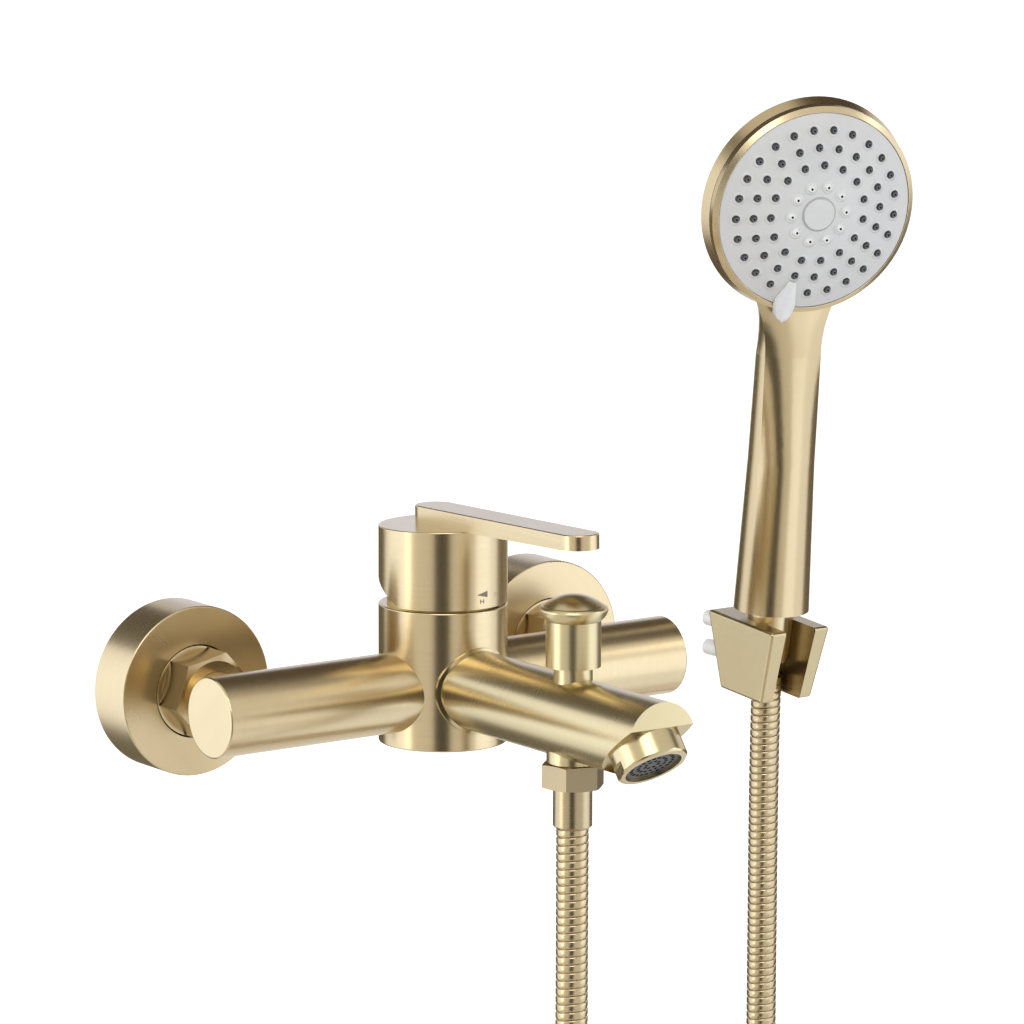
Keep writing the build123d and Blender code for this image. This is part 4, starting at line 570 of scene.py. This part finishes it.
# Strap of the coil: a flat band round three turns of hose, with a clasp that has a pressed panel
strap_half_width, strap_half_height, strap_wall, strap_depth = 0.0182, 0.0062, 0.0012, 0.0138
start_piece()
bpy.ops.mesh.primitive_cylinder_add(
    vertices=48, radius=strap_half_height, depth=strap_depth, end_fill_type="NOTHING", location=(0, 0, 0)
)
band = bpy.context.object
for way in (-1, 1):
    pick(band, lambda co, way=way: co.x * way > 0.0001)
    bpy.ops.transform.translate(value=(way * (strap_half_width - strap_half_height), 0, 0))
bpy.ops.mesh.select_all(action="SELECT")
bpy.ops.mesh.subdivide(number_cuts=2)
bpy.ops.object.mode_set(mode="OBJECT")
use_modifier(band, "SOLIDIFY", {"thickness": strap_wall, "offset": 1.0})
use_modifier(band, "BEVEL", {"width": 0.0003, "segments": 2})
start_piece()
bpy.ops.mesh.primitive_cube_add(size=0.012, location=(0, -strap_half_height - strap_wall / 2, 0))
clasp = bpy.context.object
bpy.ops.object.mode_set(mode="EDIT")
bpy.ops.mesh.select_all(action="SELECT")
bpy.ops.transform.resize(value=(0.75, 0.12, 1.1))
pick(clasp, lambda co: co.y < -0.0001)
bpy.ops.mesh.inset(thickness=0.0018, depth=0)
bpy.ops.transform.translate(value=(0, 0.0003, 0))
bpy.ops.object.mode_set(mode="OBJECT")
use_modifier(clasp, "BEVEL", {"width": 0.00025, "segments": 2})
coil_foot = (coil_centre - Vector((0, 0, coil_radius))) * millimetre
strap_place = placed(coil_foot, coil_normal, coil_across.cross(coil_normal), coil_across)
for piece, name in ((band, "strap_band"), (clasp, "strap_clasp")):
    take_up(piece)
    bpy.ops.object.transform_apply(location=True, rotation=True, scale=True)
    place_piece(piece, name, strap_place, strap_rubber)
    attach(piece, "fixed")
    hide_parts("hose_tie")

# Round collar behind each union nut, almost level with its cover's face
collar_radius, collar_wall, collar_depth, collar_y = 0.0158, 0.0028, 0.0022, -0.0170
for name, (middle_x, _, middle_z) in (("hot_nut_collar", hot_axis), ("cold_nut_collar", cold_axis)):
    start_piece()
    bpy.ops.mesh.primitive_cylinder_add(
        vertices=72, radius=collar_radius, depth=collar_depth, end_fill_type="NOTHING"
    )
    collar = bpy.context.object
    use_modifier(collar, "SOLIDIFY", {"thickness": collar_wall, "offset": -1.0})
    use_modifier(collar, "BEVEL", {"width": 0.00035, "segments": 2})
    collar_place = Matrix.Translation((middle_x, collar_y, middle_z)) @ Matrix.Rotation(radians(90), 4, "X")
    place_piece(collar, name, collar_place, gold_nut)
    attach(collar, "fixed")

# Return spring of the diverter, which in the real mixer shortens as the knob is lifted
spring_low, spring_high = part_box("diverter_spring")
spring_wire, spring_radius, spring_turns, knob_lift = 0.0007, 0.0032, 5, 0.008
spring_height = spring_high[2] - spring_low[2]
spring_pitch = (spring_height - spring_wire) / spring_turns
start_piece()
bpy.ops.mesh.primitive_circle_add(
    vertices=10, radius=spring_wire / 2, location=(spring_radius, 0, 0), rotation=(radians(90), 0, 0)
)
spring = bpy.context.object
bpy.ops.object.transform_apply(location=True, rotation=True, scale=True)
winding = {"angle": 2 * pi, "screw_offset": spring_pitch, "iterations": spring_turns}
use_modifier(spring, "SCREW", {**winding, "steps": 24, "render_steps": 24})
bpy.ops.object.mode_set(mode="EDIT")
bpy.ops.mesh.select_mode(type="VERT")
bpy.ops.mesh.select_all(action="DESELECT")
bpy.ops.mesh.select_non_manifold()
bpy.ops.mesh.fill_holes(sides=0)
bpy.ops.object.mode_set(mode="OBJECT")
spring_place = Matrix.Translation((0, diverter_axis[1], spring_low[2] + spring_wire / 2))
place_piece(spring, "lift_spring", spring_place, brushed_steel)
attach(spring, "fixed")
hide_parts("diverter_spring")
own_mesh(spring)

# Leaf-shaped tab of the spray plate, in millimetres: a thin blade with a fold along it and a round tip
tab_nozzle = 15
tab_angle = first_nozzle - 2 * pi * tab_nozzle / black_rings[-1][1]
tab_way = face_side * cos(tab_angle) + face_up * sin(tab_angle)
tab_side = face_normal.cross(tab_way)
tab_root, tab_length, root_half, widest_half, widest = 26.9, 15.0, 1.35, 3.55, 7.9 / 15.0
plate_sphere, plate_edge, plate_crown, clearance, least_foot = 144.1, 36.5, 4.7, 0.08, 0.47
start_piece()
bpy.ops.mesh.primitive_grid_add(x_subdivisions=18, y_subdivisions=8, size=2)
leaf = bpy.context.object
bpy.ops.object.mode_set(mode="EDIT")
bpy.ops.mesh.select_all(action="SELECT")
bpy.ops.mesh.extrude_region_move(TRANSFORM_OT_translate={"value": (0, 0, 1)})
bpy.ops.object.mode_set(mode="OBJECT")
for vertex in leaf.data.vertices:
    along, beside, above = (vertex.co.x + 1) / 2, vertex.co.y, vertex.co.z
    reach = tab_root + tab_length * along
    if along < widest:
        half = root_half + (widest_half - root_half) * along / widest
    else:
        half = widest_half * sqrt(max(0.0, 1 - ((along - widest) / (1 - widest)) ** 2)) + 0.02
    plate_drop = plate_sphere - sqrt(plate_sphere**2 - min(reach, plate_edge) ** 2)
    foot = max(plate_crown - plate_drop + clearance, least_foot)
    fold = 0.35 - 0.5 * along
    ridge = 1 - abs(beside - fold) / (1 + abs(fold))
    roof = 3.1 + 2.2 * along
    roof -= (1 - ridge) * (0.9 if beside > fold else 1.3) * min(1.0, 0.3 + along * 1.5)
    vertex.co = (reach, beside * half, foot + (max(roof, foot + 0.5) - foot) * above)
leaf.data.transform(Matrix.Scale(millimetre, 4))
use_modifier(leaf, "BEVEL", {"width": 0.0002, "segments": 2, "angle_limit": radians(50)})
take_up(leaf)
place_piece(leaf, "leaf_tab", placed(face_centre, tab_way, tab_side, face_normal), tab_plastic)
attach(leaf, "spray_face")
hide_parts("selector_tab")


def rays_seen(tree):
    """1 for rays from the camera, in reflections or through clear stuff, for a white surround."""
    rays = Wire(tree).node("ShaderNodeLightPath")
    outputs = rays.socket.node.outputs
    return rays + Wire(tree, outputs["Is Glossy Ray"]) + Wire(tree, outputs["Is Transmission Ray"])


# Floor: plain paper, which isn't reflected, so that the metal shows the boards below its level
start_piece()
bpy.ops.mesh.primitive_plane_add(size=1, location=(0, 0, -0.32))
floor = bpy.context.object
floor.name = "floor"
floor.scale = (40, 40, 1)
paper, _, shader = start_material("paper")
shader.inputs["Base Color"].default_value = colour(0.8, 0.8, 0.8)
shader.inputs["Roughness"].default_value = 0.9
shader.inputs["Specular IOR Level"].default_value = 0.0
seen = rays_seen(paper.node_tree)
glow = seen.node("ShaderNodeEmission", None, {"Color": colour(1, 1, 1), "Strength": seen * 0.75})
both = glow.node("ShaderNodeAddShader", None, {0: glow, 1: Wire(paper.node_tree, shader.outputs[0])})
paper.node_tree.links.new(both.socket, paper.node_tree.nodes["Material Output"].inputs["Surface"])
floor.data.materials.append(paper)
floor.visible_glossy = False

# Soft lamps, and the boards that give the metal its light and dark bands
lit_middle = Vector((0.03, -0.08, 0.04))


def lamp(name, place, size, power):
    light = bpy.data.lights.new(name, "AREA")
    light.shape = "RECTANGLE"
    light.size, light.size_y = size
    light.energy = power
    made = bpy.data.objects.new(name, light)
    scene.collection.objects.link(made)
    made.location = place
    made.rotation_euler = (lit_middle - Vector(place)).to_track_quat("-Z", "Y").to_euler()


def board(name, azimuth, elevation, size, distance, shade):
    """A board that only shows in the metal, at these angles and this distance from the mixer."""
    way = towards(azimuth, elevation)
    bpy.ops.mesh.primitive_plane_add(size=1, location=lit_middle + way * distance)
    made = bpy.context.object
    made.name = name
    made.scale = (*size, 1)
    made.rotation_euler = way.to_track_quat("Z", "Y").to_euler()
    surface = bpy.data.materials.new(name)
    surface.use_nodes = True
    tree = surface.node_tree
    tree.nodes.remove(tree.nodes["Principled BSDF"])
    light = Wire(tree).node("ShaderNodeEmission", None, {"Color": colour(*shade), "Strength": 1.0})
    tree.links.new(light.socket, tree.nodes["Material Output"].inputs["Surface"])
    made.data.materials.append(surface)
    made.visible_camera = False
    made.visible_diffuse = False
    made.visible_shadow = False
    made.visible_transmission = False


lamp("key_lamp", (-0.9, -1.3, 1.3), (1.2, 1.2), 13)
lamp("left_lamp", (-1.5, 0.35, 0.1), (0.6, 1.6), 7)
lamp("right_lamp", (1.2, -0.9, 0.2), (0.35, 1.4), 5)
board("left_panel", -136, -6, (0.74, 1.9), 1.2, (1.50, 1.60, 1.82))
board("right_panel", 56, -15, (0.80, 2.3), 1.2, (1.36, 1.45, 1.66))
board("dark_board", -38.5, -12, (0.56, 1.2), 1.15, (0.05, 0.045, 0.035))
board("back_left_board", 178, -24, (0.95, 1.1), 1.25, (0.16, 0.14, 0.10))
board("back_right_board", 101, -18, (1.05, 0.8), 1.25, (0.20, 0.17, 0.13))
board("ceiling_board", 115, 46, (2.3, 1.2), 1.5, (0.11, 0.09, 0.065))
board("top_panel", 145, 12, (0.9, 0.45), 1.3, (1.03, 1.06, 1.24))
board("handle_right_panel", 38, -12, (0.22, 0.26), 0.347, (1.75, 1.9, 2.2))
board("handle_left_panel", -121, -5, (0.2, 0.3), 0.34, (1.75, 1.9, 2.2))
board("shoulder_board", -168, 38, (1.2, 0.8), 1.3, (0.12, 0.105, 0.08))

# World: white where it is seen, dimmer where it lights
world = bpy.data.worlds.new("studio")
scene.world = world
world.use_nodes = True
background = world.node_tree.nodes["Background"]
background.inputs["Color"].default_value = colour(1, 1, 1)
strength = rays_seen(world.node_tree).least(1.0) * 0.45 + 0.55
world.node_tree.links.new(strength.socket, background.inputs["Strength"])
scene.view_settings.view_transform = "Standard"
